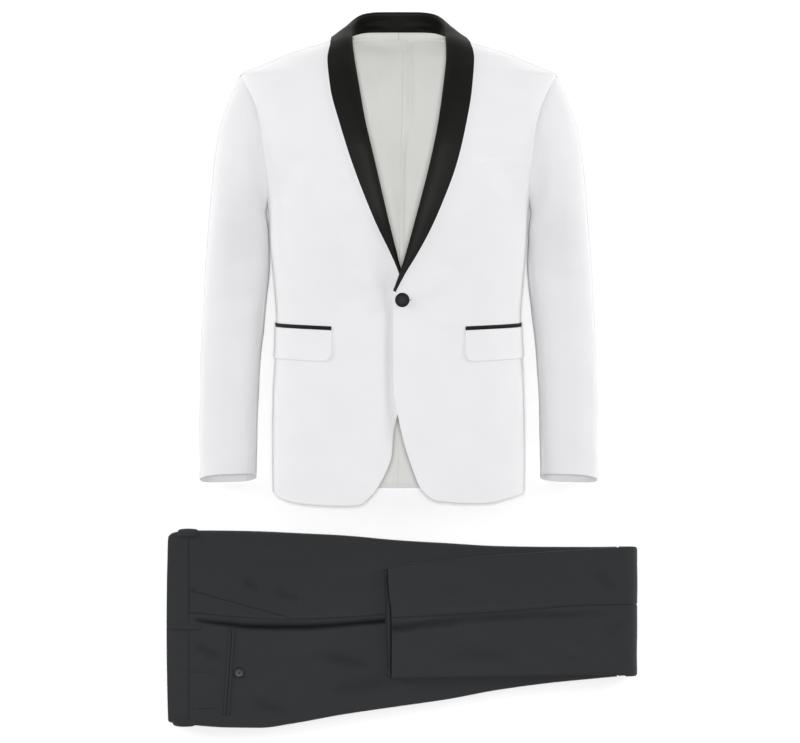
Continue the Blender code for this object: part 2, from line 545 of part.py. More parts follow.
def make_collar(name, side, lapel, under):
    roll, edge, seam, bow, follow = collar_lines(lapel, under)
    on_form = on_front(roll[:, 0], roll[:, 1], 0 * roll[:, 0] - CLOTH / 2, under)
    roll = roll + (on_form - roll) * follow
    along = unit(np.gradient(roll, axis=0))
    across = roll - edge
    across = unit(across - np.einsum("ij,ij->i", across, along)[:, None] * along)
    out = unit(np.cross(across, along))
    width = np.linalg.norm(edge - roll, axis=-1)[:, None]

    def layer(share, lift):
        # a line of points: share of the way from roll to edge, lift from the cloth's middle surface
        flat = roll + (edge - out * FOLD_R - roll) * share + out * lift
        flat_xy = roll + (edge - roll) * share
        shaped = on_front(flat_xy[:, 0], flat_xy[:, 1], lift[:, 0] - CLOTH / 2, under)
        return flat + (shaped - flat) * follow

    start = roll - FOLD_R * out
    sections = [start + (seam - start) * share for share in (1.0, 0.5, 0.0)]
    for turn in np.radians([-45, 0, 45]):
        sections.append(roll + FOLD_R * (out * np.sin(turn) + across * np.cos(turn)))
    for share in (0.0, 0.1, 0.27, 0.5, 0.75, 1.0):
        rise = np.sin(np.pi * share ** 0.7) * np.minimum(bow, 0.12 * width)
        sections.append(layer(share, FOLD_R + rise))
    middle = np.array(sections).transpose(1, 0, 2)
    middle[0, :, 0] = 0
    normal = unit(np.cross(np.gradient(middle, axis=1), along[:, None] + 0 * middle))
    outer, inner = middle + CLOTH / 2 * normal, middle - CLOTH / 2 * normal
    outer[0, :, 0] = inner[0, :, 0] = 0
    pull_in(outer, inner, "b")
    return wall(name, placed(outer, side), placed(inner, side), "black_satin")


def along_front(start, length, top, rise, steps):
    # points at equal steps along a line that runs out over a front from x = start and climbs by rise
    fine = np.linspace(front_angle(start, np.array(top)), np.radians(50), 400)
    line = body(top + 0 * fine, fine)
    run = np.concatenate([[0], np.cumsum(np.linalg.norm(np.diff(line, axis=0), axis=1))])
    at = np.asarray(steps) * length
    return top + rise * np.asarray(steps), np.interp(at, run, fine)


def laid_on(name, side, rows, lift, thick, look, under):
    y, angle = rows
    point, normal = body(y, angle, under), outward(y, angle, under)
    lift = np.asarray(lift)[..., None]
    outer, inner = point + (lift + thick) * normal, point + lift * normal
    return wall(name, placed(outer, side), placed(inner, side), look)


def make_pockets():
    near = FLAP_CORNER / FLAP_LENGTH
    ends = near * np.array([0, 0.15, 0.45, 1.0])
    steps = np.concatenate([ends, np.linspace(near, 1 - near, 14)[1:-1], 1 - ends[::-1]])
    gap = np.minimum(steps, 1 - steps) * FLAP_LENGTH
    inset = FLAP_CORNER - np.sqrt(FLAP_CORNER**2 - np.maximum(FLAP_CORNER - gap, 0) ** 2)
    for hand, side in (("left", 1), ("right", -1)):
        under = side < 0
        y, angle = along_front(FLAP_START, FLAP_LENGTH, FLAP_TOP, FLAP_RISE, steps)
        share = np.array([0, 0.3, 0.65, 1.0])[:, None]
        rows = y - share * (FLAP_DEEP - inset), angle + 0 * share
        laid_on("flap_" + hand, side, rows, LAID + FLAP_FALL * share + 0 * angle, THIN, "white_wool", under)
        share = np.array([0, 1.0])[:, None]
        rows = y + SEAM + share * JET_HIGH, angle + 0 * share
        laid_on("jet_" + hand, side, rows, LAID + 0 * share * angle, LINING, "black_satin", under)
    steps = np.linspace(0, 1, 8)
    y, angle = along_front(WELT_START, WELT_LENGTH, WELT_TOP, WELT_RISE, steps)
    share = np.array([0, 0.5, 1.0])[:, None]
    laid_on("chest_welt", 1, (y - share * WELT_DEEP, angle + 0 * share), LAID + 0 * share * angle, THIN,
            "white_wool", False)


def make_jacket_button():
    seat = placed(body(np.array(BUTTON_Y), front_angle(BUTTON_X, np.array(BUTTON_Y))), 1)
    spin("button_front", BUTTON, BUTTON_R, seat, "black_button", 24)


def stack(x, turn=None, shin=False):
    # middle, outward direction, thickness, front and back edges of the folded legs. x runs down the thigh;
    # turn, in degrees from the surface, goes round the knee; shin selects the legs folded back on top
    front, back, thick = np.moveaxis(smooth(SHIN if shin else THIGH, x), -1, 0)
    base = 0.0
    if shin:
        base = smooth(THIGH, x)[..., 2] + STACK_GAP
    if turn is None:
        return np.array([x, base + thick / 2]), np.array([0.0, 1.0 if shin else -1.0]), thick, front, back
    lean = np.radians(turn)
    out = np.array([np.cos(lean), np.sin(lean)])
    pivot = np.array([KNEE_X, smooth(THIGH, KNEE_X)[..., 2] + STACK_GAP / 2])
    return pivot + out * (STACK_GAP / 2 + thick / 2), out, thick, front, back


def lying(row, q, lift=0.0, outer=True):
    # a point of the legs' surface: q is y on the flat, and runs on round the rounded edges at both sides;
    # outer chooses the outer leg of the stack or the inner one
    (x, z), out, thick, front, back = row
    r = thick / 4
    q = np.asarray(q, float)
    over = np.where(q > front - r, q - (front - r), np.where(q < back + r, q - (back + r), 0)) / r
    y = np.clip(q, back + r, front - r) + (r + lift) * np.sin(over)
    height = r + (r + lift) * np.cos(over)
    out = out * (1 if outer else -1)
    return np.stack([x + out[0] * height, y, z + out[1] * height], -1)


def edge_q(row, end):
    (_, _), _, thick, front, back = row
    r = thick / 4
    return front - r + WRAP * r if end == "front" else back + r - WRAP * r


def strip(row, low, high, cols, lip):
    # columns from the seam at low to the seam at high; lip adds closer ones round the front or back edge
    (_, _), _, thick, front, back = row
    r = thick / 4
    flat = np.linspace(0, 1, cols + 1)
    if lip == "front":
        return np.concatenate([low + (front - r - low) * flat[:-1], np.linspace(front - r, high, 5)])
    if lip == "back":
        return np.concatenate([np.linspace(low, back + r, 5)[:-1], back + r + (high - back - r) * flat])
    return low + (high - low) * flat


def leg_wall(name, rows, spans, cols, lip, look, outer, edges, lift=0.0, thick=THIN, shift=None):
    outside, inside = [], []
    for row, (low, high) in zip(rows, spans):
        q = strip(row, low, high, cols, lip)
        outside.append(lying(row, q, lift, outer))
        inside.append(lying(row, q, lift - thick, outer))
    outside, inside = np.array(outside), np.array(inside)
    if shift is not None:
        outside[..., 0] += shift(outside)
        inside[..., 0] += shift(inside)
    pull_in(outside, inside, edges)
    return wall(name, outside, inside, look)


def waist_shift(points):
    # the waist's end is cut at a slight curve
    lean = 0.0022 * ((points[..., 1] + 0.40) / 0.14) ** 2
    return lean * ease((-0.335 - points[..., 0]) / 0.03)


def make_right_leg():
    xs = THIGH_ROWS + [0.335]
    rows = [stack(np.array(x)) for x in xs]
    seam = one(SIDE_SEAM, xs)
    opening = np.where(np.array(xs) <= SLANT[-1][0], one(SLANT, xs), seam + SEAM)
    front = [(o, edge_q(r, "front")) for o, r in zip(opening, rows)]
    leg_wall("leg_right_front", rows, front, 2, "front", "charcoal_wool", False, "bf")
    back = [(edge_q(r, "back"), s) for s, r in zip(seam, rows)]
    leg_wall("leg_right_back", rows, back, 2, "back", "charcoal_wool", False, "bl")
    pocket = [(s + SEAM, max(o - SEAM, s + SEAM + 0.0012)) for s, o in zip(seam[:5], opening[:5])]
    leg_wall("pocket_facing", rows[:5], pocket, 2, None, "charcoal_wool", False, "b", lift=-0.0003,
             thick=THIN - 0.0003)


def make_waistband():
    xs = [WAIST_X, -0.3600, -0.3480, THIGH_ROWS[0]]
    rows = [stack(np.array(x)) for x in xs]
    seam = one(SIDE_SEAM, WAIST_X)
    spans = [(seam, edge_q(r, "front")) for r in rows]
    leg_wall("waistband_front", rows, spans, 2, "front", "charcoal_wool", False, "tf", BAND_RISE,
             THIN + BAND_RISE, waist_shift)
    spans = [(edge_q(r, "back"), seam) for r in rows]
    leg_wall("waistband_back", rows, spans, 2, "back", "charcoal_wool", False, "tl", BAND_RISE,
             THIN + BAND_RISE, waist_shift)
    for name, start, end, middle, bow in LOOPS:
        rows = [stack(np.array(x)) for x in start + (end - start) * np.array([0, 0.12, 0.5, 0.88, 1])]
        q = middle + LOOP_WIDE * np.linspace(-0.5, 0.5, 5)
        rise = BAND_RISE + SEAM + bow * np.array([0, 0.7, 1, 0.7, 0])
        outside = np.array([lying(row, q, up + THIN, False) for row, up in zip(rows, rise)])
        inside = np.array([lying(row, q, up, False) for row, up in zip(rows, rise)])
        for layer in (outside, inside):
            layer[..., 0] += waist_shift(layer)
        wall(name, outside, inside, "charcoal_wool")


def make_left_leg():
    rows = [stack(np.array(KNEE_X - 0.011))] + [stack(np.array(KNEE_X), t) for t in TURNS]
    xs = SHIN_ROWS + [HEM_X]
    rows += [stack(np.array(x), shin=True) for x in xs]
    seam = one(SHIN_SEAM, [KNEE_X] * (1 + len(TURNS)) + xs)

    def hem_wave(points):
        x, y, z = np.moveaxis(points, -1, 0)
        return one(HEM_LINE, y) * ease((0.03 - x) / 0.04) * (z > 0.02)

    front = [(s, edge_q(r, "front")) for s, r in zip(seam, rows)]
    leg_wall("leg_left_front", rows, front, 2, "front", "charcoal_wool", True, "f", shift=hem_wave)
    back = [(edge_q(r, "back"), s) for s, r in zip(seam, rows)]
    leg_wall("leg_left_back", rows, back, 2, "back", "charcoal_wool", True, "l", shift=hem_wave)


def wrap_round(row):
    # q at a few places from beyond the front edge, over the flat, to beyond the back edge
    (_, _), _, thick, front, back = row
    r = thick / 4
    bend = np.array(BENDS) * r
    flat = [front - r, (front + back) / 2, back + r]
    return np.concatenate([front - r + bend, flat, back + r - bend[::-1]])


def leg_ring(row, outer_lift, inner_lift):
    # one closed section of the folded legs: the outer leg, a notch between the legs, the inner leg, a notch
    (x, z), _, thick, front, back = row
    r, turn = thick / 4, wrap_round(row)
    far = lying(row, turn, outer_lift, True)
    near = lying(row, turn[::-1], inner_lift, False)
    notch = [np.array([[x, y, z]]) for y in (back + 1.1 * r, front - 1.1 * r)]
    return np.concatenate([far, notch[0], near, notch[1]])


def make_hidden_legs():
    # the layers that don't show share one rounded solid under the visible cloth
    clear = THIN + SEAM
    flat = [WAIST_X + 0.003, -0.3600, -0.3480] + THIGH_ROWS + [KNEE_X - 0.0148]
    rings = [leg_ring(stack(np.array(x)), 0.0, -clear) for x in flat]
    rings.append(leg_ring(stack(np.array(KNEE_X - 0.0115)), -clear, -clear))
    rings += [leg_ring(stack(np.array(KNEE_X), t), -clear, 0.0) for t in TURNS]
    rings += [leg_ring(stack(np.array(x), shin=True), -clear, 0.0) for x in SHIN_ROWS + [HEM_X + 0.009]]
    rings = np.array(rings)
    rings[..., 0] += waist_shift(rings)
    tube("folded_layers", rings, "charcoal_wool")


def make_under_hem():
    # the right leg's hem, which shows past the left leg's, lies in the lower half of the folded-back stack
    rings = []
    for x in (HEM_X + 0.009 - SEAM, HEM_X - UNDER_HEM):
        row = stack(np.array(x), shin=True)
        (_, middle), _, thick, front, back = row
        inset, turn = 1.2 * thick / 4, wrap_round(row)
        low = lying(row, turn, 0.0, False)
        across = np.clip(turn, back + inset, front - inset)
        top = np.stack([x + 0 * turn, across, middle - UNDER_TOP + 0 * turn], -1)
        section = np.concatenate([low, top[4:-4][::-1]])
        section[:, 0] += UNDER_SLANT * (-0.39 - section[:, 1]) / 0.09 * (x < HEM_X)
        rings.append(section)
    tube("leg_right_hem", np.array(rings), "charcoal_wool")


def make_back_pocket():
    def lean(points):
        return BACK_POCKET_LEAN * (points[..., 1] - BACK_POCKET_TOP + BACK_POCKET_LONG / 2)

    for name, at in (("back_welt_upper", 0.0), ("back_welt_lower", BACK_WELT + SEAM)):
        rows = [stack(np.array(BACK_POCKET_X + at + w)) for w in (-BACK_WELT / 2, BACK_WELT / 2)]
        spans = [(BACK_POCKET_TOP - BACK_POCKET_LONG, BACK_POCKET_TOP)] * 2
        leg_wall(name, rows, spans, 6, None, "charcoal_wool", False, "", SEAM + LINING, LINING, lean)
    seat = lying(stack(np.array(BACK_BUTTON_X)), BACK_BUTTON_Y, 0.0, False)
    spin("back_pocket_button", BACK_BUTTON, BACK_BUTTON_R, seat, "black_button")


for old in list(bpy.data.objects):
    bpy.data.objects.remove(old)
garment = bpy.data.collections.new("tuxedo")
bpy.context.scene.collection.children.link(garment)

corner = ring_corner()
make_fronts(corner)
make_side_bodies(corner)
make_backs(corner)
make_sleeves(corner)
make_collar("shawl_collar_left", 1, LAPEL_OVER, False)
make_collar("shawl_collar_right", -1, LAPEL_UNDER, True)
make_pockets()
make_jacket_button()
make_hidden_legs()
make_right_leg()
make_waistband()
make_left_leg()
make_under_hem()
make_back_pocket()
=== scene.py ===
import bpy
import numpy as np
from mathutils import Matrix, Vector


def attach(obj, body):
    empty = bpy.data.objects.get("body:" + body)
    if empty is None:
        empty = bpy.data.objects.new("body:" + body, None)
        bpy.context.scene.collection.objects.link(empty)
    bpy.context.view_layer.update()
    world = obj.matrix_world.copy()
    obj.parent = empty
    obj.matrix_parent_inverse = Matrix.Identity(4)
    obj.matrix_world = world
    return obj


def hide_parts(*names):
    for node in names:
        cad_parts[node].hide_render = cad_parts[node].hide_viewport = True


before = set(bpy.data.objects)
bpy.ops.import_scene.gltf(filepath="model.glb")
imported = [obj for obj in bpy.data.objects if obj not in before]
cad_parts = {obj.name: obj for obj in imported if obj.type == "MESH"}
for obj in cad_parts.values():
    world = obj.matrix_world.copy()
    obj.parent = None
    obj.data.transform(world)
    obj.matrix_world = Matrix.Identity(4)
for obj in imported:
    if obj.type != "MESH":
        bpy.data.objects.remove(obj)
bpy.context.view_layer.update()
print("frame loaded")

cloth = {
    "jacket": 0.002,  # jacket cloth with its canvas
    "trousers": 0.0015,  # trouser cloth, flaps and loops
    "lining": 0.001,
    "gap": 0.0003,  # between neighbouring pieces
    "rim": 0.0009,  # radius of a turned edge
    "rimSteps": (0.06, 0.25, 0.6, 1.0),  # where points are added beside an edge, as shares of that radius
    "rimRoom": 0.8,  # and the share of the first step that they take up at most
    "setMiddle": (-0.0001, -0.0009, 0.0),  # a place here that the finished set has at its origin
}
hands = (("Left", 1, "over"), ("Right", -1, "under"))  # the wearer's, the sign of x, and which front it is


def smooth(table, at):
    # monotone cubic through the rows of a table, whose first column is the position
    table = np.asarray(table, float)
    x, y = table[:, 0], table[:, 1:]
    step = np.diff(x)[:, None]
    slope = np.diff(y, axis=0) / step
    same = slope[:-1] * slope[1:] > 0
    mean = np.where(same, 2 * slope[:-1] * slope[1:] / np.where(same, slope[:-1] + slope[1:], 1), 0)
    tangent = np.vstack([slope[:1], mean, slope[-1:]])
    at = np.clip(np.asarray(at, float), x[0], x[-1])
    i = np.clip(np.searchsorted(x, at, side="right") - 1, 0, len(x) - 2)
    f, wide = ((at - x[i]) / step[i, 0])[..., None], step[i]
    value = y[i] * (2 * f**3 - 3 * f**2 + 1) + tangent[i] * wide * (f**3 - 2 * f**2 + f)
    return value + y[i + 1] * (3 * f**2 - 2 * f**3) + tangent[i + 1] * wide * (f**3 - f**2)


def one(table, at):
    # the same for a table of two columns, as plain numbers
    return smooth(table, at)[..., 0]


def ease(f):
    # 0 below 0, 1 above 1, and 3 f squared less 2 f cubed between
    f = np.clip(f, 0, 1)
    return f * f * (3 - 2 * f)


def power(value, exponent):
    # the power of a value's size, with the value's sign
    return np.sign(value) * np.abs(value) ** exponent


def unit(v):
    # each vector over its own length
    return v / np.maximum(np.linalg.norm(v, axis=-1, keepdims=True), 1e-12)


def finer(values, k):
    # k steps from each value to the next, along a monotone cubic
    last = len(values) - 1
    return one(np.column_stack([np.arange(last + 1), values]), np.linspace(0, last, last * k + 1))


def bump(distance, width):
    # a soft ridge across a line: e to the power of minus the squared distance over the width
    return np.exp(-(distance / width) ** 2)


softFold = {
    "places": 49,  # along a fold, from which distances to it are taken
    "starts": 1.15, "narrows": 0.35,  # its width at its start and what it loses on its way, as shares
    "ends": 3.2,  # 1 over the share of its length in which it fades at either end
}


def creased(surface, place, table):
    # heights of soft folds on a surface. Each runs in a straight line from one place to the other, bowed to
    # the side by a sine, has a bump as its section and fades at both ends
    height = np.zeros(surface.shape[:2])
    t = np.linspace(0, 1, softFold["places"])
    for startA, startB, endA, endB, bow, width, depth in table:
        path = place(startA + (endA - startA) * t + bow * np.sin(np.pi * t), startB + (endB - startB) * t)
        away, fade = np.full(height.shape, np.inf), np.zeros(height.shape)
        for point, f in zip(path, t):
            d = np.linalg.norm(surface - point, axis=-1)
            near = d < away
            away, fade = np.where(near, d, away), np.where(near, f, fade)
        width = width * (softFold["starts"] - softFold["narrows"] * fade)
        height += depth * bump(away, width) * ease(np.minimum(fade, 1 - fade) * softFold["ends"])
    return height


slowWaves = {
    "number": 7,
    "reach": (0.6, 1.6),  # shortest and longest, as shares of the reach asked for
    "start": 6.3,  # each starts anywhere in its first turn, in radians
    "share": 3,  # each has this part of the height asked for
}


def drift(surface, size, reach, seed):
    # cloth never lies quite even: a sum of slow sine waves in odd directions
    wave = np.random.default_rng(seed)
    height = np.zeros(surface.shape[:2])
    for _ in range(slowWaves["number"]):
        way = unit(wave.normal(size=3)) * 2 * np.pi / (reach * wave.uniform(*slowWaves["reach"]))
        height += np.sin(surface @ way + wave.uniform(0, slowWaves["start"])) * size / slowWaves["share"]
    return height


def cellsOf(surface):
    # the cross product of the grid's steps across and along, as long as a cell's area
    return np.cross(np.gradient(surface, axis=1), np.gradient(surface, axis=0))


def normalsOf(surface):
    # the way each cell faces, as a unit vector
    return unit(cellsOf(surface))


def crowded(surface, rims):
    # adds rows and columns close to all four edges, so that the edge's half round has points to turn on; the
    # last axis holds the place and anything else that a point carries
    for axis in (0, 1):
        grid = surface if axis == 0 else surface.transpose(1, 0, 2)
        for rim in rims[2 * axis:2 * axis + 2]:
            step = grid[1] - grid[0]
            room = np.linalg.norm(step[:, :3], axis=-1, keepdims=True)
            closest = np.array(cloth["rimSteps"])[:, None, None]
            share = np.minimum(closest * rim / np.maximum(room, 1e-9), closest * cloth["rimRoom"])
            grid = np.concatenate([grid[:1], grid[0] + step * share, grid[1:]])[::-1]
        surface = grid if axis == 0 else grid.transpose(1, 0, 2)
    return surface


def makeObject(name, points, faces, uv, coats, faceLook=None, ends=(), paintedShade=None):
    # one mesh in the set's frame, of four-sided faces and the polygons that close its ends; uv holds metres
    # of cloth for each point, and the last argument how much shade is painted into its colour there, from 0
    # to 1
    mesh = bpy.data.meshes.new(name)
    used, corners = np.unique(np.concatenate([faces.ravel(), *ends]).astype(int), return_inverse=True)
    points, uv = (points - cloth["setMiddle"])[used], uv[used]
    sizes = np.concatenate([np.full(len(faces), 4), [len(end) for end in ends]]).astype(int)
    mesh.vertices.add(len(points))
    mesh.vertices.foreach_set("co", points.ravel())
    mesh.loops.add(len(corners))
    mesh.loops.foreach_set("vertex_index", corners)
    mesh.polygons.add(len(sizes))
    mesh.polygons.foreach_set("loop_start", np.cumsum(sizes) - sizes)
    for look in coats:
        mesh.materials.append(look)
    if faceLook is not None:
        mesh.polygons.foreach_set("material_index", faceLook)
    mesh.uv_layers.new(name="cloth").data.foreach_set("uv", uv[corners].ravel())
    # the shade painted into the colour goes to the material as a point attribute
    if paintedShade is not None:
        mesh.attributes.new("painted_shade", "FLOAT", "POINT").data.foreach_set("value", paintedShade[used])
    mesh.update(calc_edges=True)
    mesh.shade_smooth()
    piece = bpy.data.objects.new(name, mesh)
    bpy.context.scene.collection.objects.link(piece)
    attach(piece, "root")
    return piece


def quads(index):
    # the four corners of each cell in a grid of point numbers, in turn
    return np.stack([index[:-1, :-1], index[:-1, 1:], index[1:, 1:], index[1:, :-1]], -1).reshape(-1, 4)


def runs(surface):
    # metres of cloth across and along the grid: the steps' lengths, added up from its first column or row
    across, along = (np.cumsum(np.linalg.norm(np.diff(surface, axis=axis), axis=-1), axis) for axis in (1, 0))
    return np.pad(across, ((0, 0), (1, 0))), np.pad(along, ((1, 0), (0, 0)))


def shell(name, surface, coats, thick, awayFrom=None, side=1, skin=0.0, rim=None, outerLook=None,
          innerLook=None, paintedShade=None):
    # a closed layer of cloth on a surface, whose outer face looks away from the given point, or the way that
    # side gives. skin is the share of the thickness that lies outside the surface. Towards the edges both
    # faces run together along a half round: rim is its radius, one for all edges or one for the first row,
    # the last row, the first column and the last column
    rims = np.broadcast_to(rim or cloth["rim"], 4)
    paintedShade = np.zeros(surface.shape[:2]) if paintedShade is None else paintedShade
    surface, paintedShade = np.split(crowded(np.dstack([surface, paintedShade]), rims), [3], axis=2)
    if awayFrom is not None:
        side = 1 if np.einsum("ijk,ijk->", normalsOf(surface), surface - awayFrom) > 0 else -1
    across, along = runs(surface)
    ends = (along, along[-1:] - along, across, across[:, -1:] - across)
    reach = np.minimum.reduce([end / rim for end, rim in zip(ends, rims)])
    swell = np.sqrt(1 - (1 - np.clip(reach, 0, 1)) ** 2)[..., None]
    normal = normalsOf(surface) * side
    middle = surface + normal * thick * (skin - 0.5)
    outer, inner = middle + normal * thick / 2 * swell, middle - normal * thick / 2 * swell
    rows, cols = surface.shape[:2]
    top = np.arange(rows * cols).reshape(rows, cols)
    low = top + rows * cols
    low[[0, -1]], low[:, [0, -1]] = top[[0, -1]], top[:, [0, -1]]
    faces = [quads(top)[:, ::side], quads(low)[:, ::-side]]
    index = [np.zeros(len(faces[0]), int) if look is None else look(surface)[:-1, :-1].ravel() * 1
             for look in (outerLook, innerLook)]
    points = np.concatenate([outer.reshape(-1, 3), inner.reshape(-1, 3)])
    uv = np.tile(np.stack([across, along], -1).reshape(-1, 2), (2, 1))
    piece = makeObject(name, points, np.concatenate(faces), uv, coats, np.concatenate(index),
                       paintedShade=np.tile(paintedShade.ravel(), 2))
    wide, long = across[:, -1].max(), along[-1].max()
    area = np.linalg.norm(cellsOf(surface), axis=-1)[1:-1, 1:-1].sum()
    print(f"  {name}: {len(faces[0]) * 4} triangles, {wide:.3f} x {long:.3f} m, {area:.4f} m2")
    return piece


def ringFaces(rows, cols):
    # the faces round a stack of rings of points, and the two polygons that close its ends
    index = np.arange(rows * cols).reshape(rows, cols)
    return quads(np.concatenate([index, index[:, :1]], 1)), [index[0][::-1], index[-1]]


def tube(name, grid, coats, paintedShade=None):
    # a closed solid from rings of points, with a flat face on each end
    faces, ends = ringFaces(*grid.shape[:2])
    uv = np.stack(runs(grid), -1).reshape(-1, 2)
    return makeObject(name, grid.reshape(-1, 3), faces, uv, coats, ends=ends,
                      paintedShade=None if paintedShade is None else paintedShade.ravel())


turned = {
    "around": 96, "profile": 64,  # points
    "topFrom": 0.55,  # share of the profile's way after which it is the upper side
    "shadowRingOver": 0.1,  # share of the radius over which the shadow painted on the rim grows in
}


def lathe(name, profile, centre, coats, holes=(), shadowRingFrom=None):
    # a round solid turned from a smooth curve through its profile of radius and height, whose upper side dips
    # at the holes by e to the power of minus the distance over the radius to the fourth; columns of holes: x,
    # y, radius, depth. The last argument is the share of the radius from which a shadow is painted round its
    # rim
    profile = np.array(profile, float)
    way = np.concatenate([[0], np.cumsum(np.linalg.norm(np.diff(profile, axis=0), axis=1))])
    at = np.linspace(0, way[-1], turned["profile"])
    radius, height = smooth(np.column_stack([way, profile]), at).T[..., None]
    turn = np.linspace(0, 2 * np.pi, turned["around"], endpoint=False)
    x, y, z = radius * np.cos(turn), radius * np.sin(turn), height + 0 * turn
    for holeX, holeY, wide, deep in holes:
        dip = deep * np.exp(-(((x - holeX)**2 + (y - holeY)**2) / wide**2) ** 2)
        z = z - dip * (at > way[-1] * turned["topFrom"])[:, None]
    # painted shadow round the rim
    paintedDark = None
    if shadowRingFrom is not None:
        paintedDark = ease((radius / radius.max() - shadowRingFrom) / turned["shadowRingOver"]) + 0 * turn
    return tube(name, np.stack([x, y, z], -1) + centre, coats, paintedShade=paintedDark)


thread = {"ends": 0.35, "rings": 6, "around": 8}  # a slug's blunt ends, in radians, and its points


def stitches(name, path, normal, look, long, wide, high):
    # a small slug of thread at each point of a path, laid along it: half of an ellipsoid with blunt ends
    along = unit(np.gradient(path, axis=0))
    side = np.cross(normal, along)
    u = np.linspace(thread["ends"], np.pi - thread["ends"], thread["rings"])[:, None, None]
    v = np.linspace(0, 2 * np.pi, thread["around"], endpoint=False)[:, None]
    grids = [c - t * np.cos(u) * long / 2 + (s * np.cos(v) * wide / 2 + n * np.sin(v) * high) * np.sin(u)
             for c, t, s, n in zip(path, along, side, normal)]
    each, caps = ringFaces(*grids[0].shape[:2])
    starts = np.arange(len(grids)) * thread["rings"] * thread["around"]
    points = np.concatenate([grid.reshape(-1, 3) for grid in grids])
    faces = np.concatenate([each + start for start in starts])
    ends = [cap[::-1] + start for start in starts for cap in caps]
    return makeObject(name, points, faces[:, ::-1], points[:, :2], [look], ends=ends)


# finishes: linear colours; weave is the threads' spacing and their height, mottle the share by which the
# colour wanders and the size of its patches
finishes = {
    "whiteWool": {"colour": (0.695, 0.695, 0.709), "rough": 0.88, "specular": 0.2, "sheen": 0.9,
                  "weave": (0.00055, 0.00005), "mottle": (0.03, 0.045)},
    "paleLining": {"colour": (0.7, 0.702, 0.672), "rough": 0.55, "specular": 0.22, "sheen": 0.0,
                   "weave": (0.0003, 0.00002), "mottle": (0.05, 0.06)},
    "blackSatin": {"colour": (0.0052, 0.0049, 0.0042), "rough": 0.56, "specular": 0.15, "sheen": 0.0,
                   "weave": (0.00028, 0.00002), "mottle": (0.25, 0.05)},
    # the same satin, darker as painted shade inside the neck, and duller
    "standSatinInShade": {"colour": (0.0044, 0.004, 0.0036), "rough": 0.6, "specular": 0.09, "sheen": 0.0,
                   "weave": (0.00028, 0.00002), "mottle": (0.35, 0.02)},
    "charcoalWool": {"colour": (0.025, 0.0262, 0.0285), "rough": 0.95, "specular": 0.1, "sheen": 0.1,
                     "weave": (0.0006, 0.00007), "mottle": (0.1, 0.004)},
    "blackButton": {"colour": (0.012, 0.012, 0.012), "rough": 0.5, "specular": 0.1, "sheen": 0.0,
                    "weave": (0.00035, 0.00001), "mottle": (0.1, 0.01)},
    "hornButton": {"colour": (0.026, 0.026, 0.027), "rough": 0.42, "specular": 0.2, "sheen": 0.0,
                   "weave": (0.003, 0.00001), "mottle": (0.3, 0.004)},
    "whiteThread": {"colour": (0.7, 0.7, 0.71), "rough": 0.7, "specular": 0.25, "sheen": 0.0,
                    "weave": (0.00025, 0.00003), "mottle": (0.04, 0.002)},
    "darkThread": {"colour": (0.024, 0.0245, 0.026), "rough": 0.7, "specular": 0.2, "sheen": 0.0,
                   "weave": (0.00025, 0.00003), "mottle": (0.1, 0.002)},
}

woven = {
    "inPaintedShade": 0.06,  # share of the colour that is left where the painted shade is fullest
    "sheenRough": 0.6, "patchDetail": 4,
    "turns": (0.8, -0.8),  # of the two sets of threads, in radians
    "period": 0.314,  # metres from wave to wave in a wave texture of scale 1
    "wander": 1.2, "wanderScale": 2,  # how far the threads stray, and how finely
    "lift": 0.6,  # strength of the bump
}


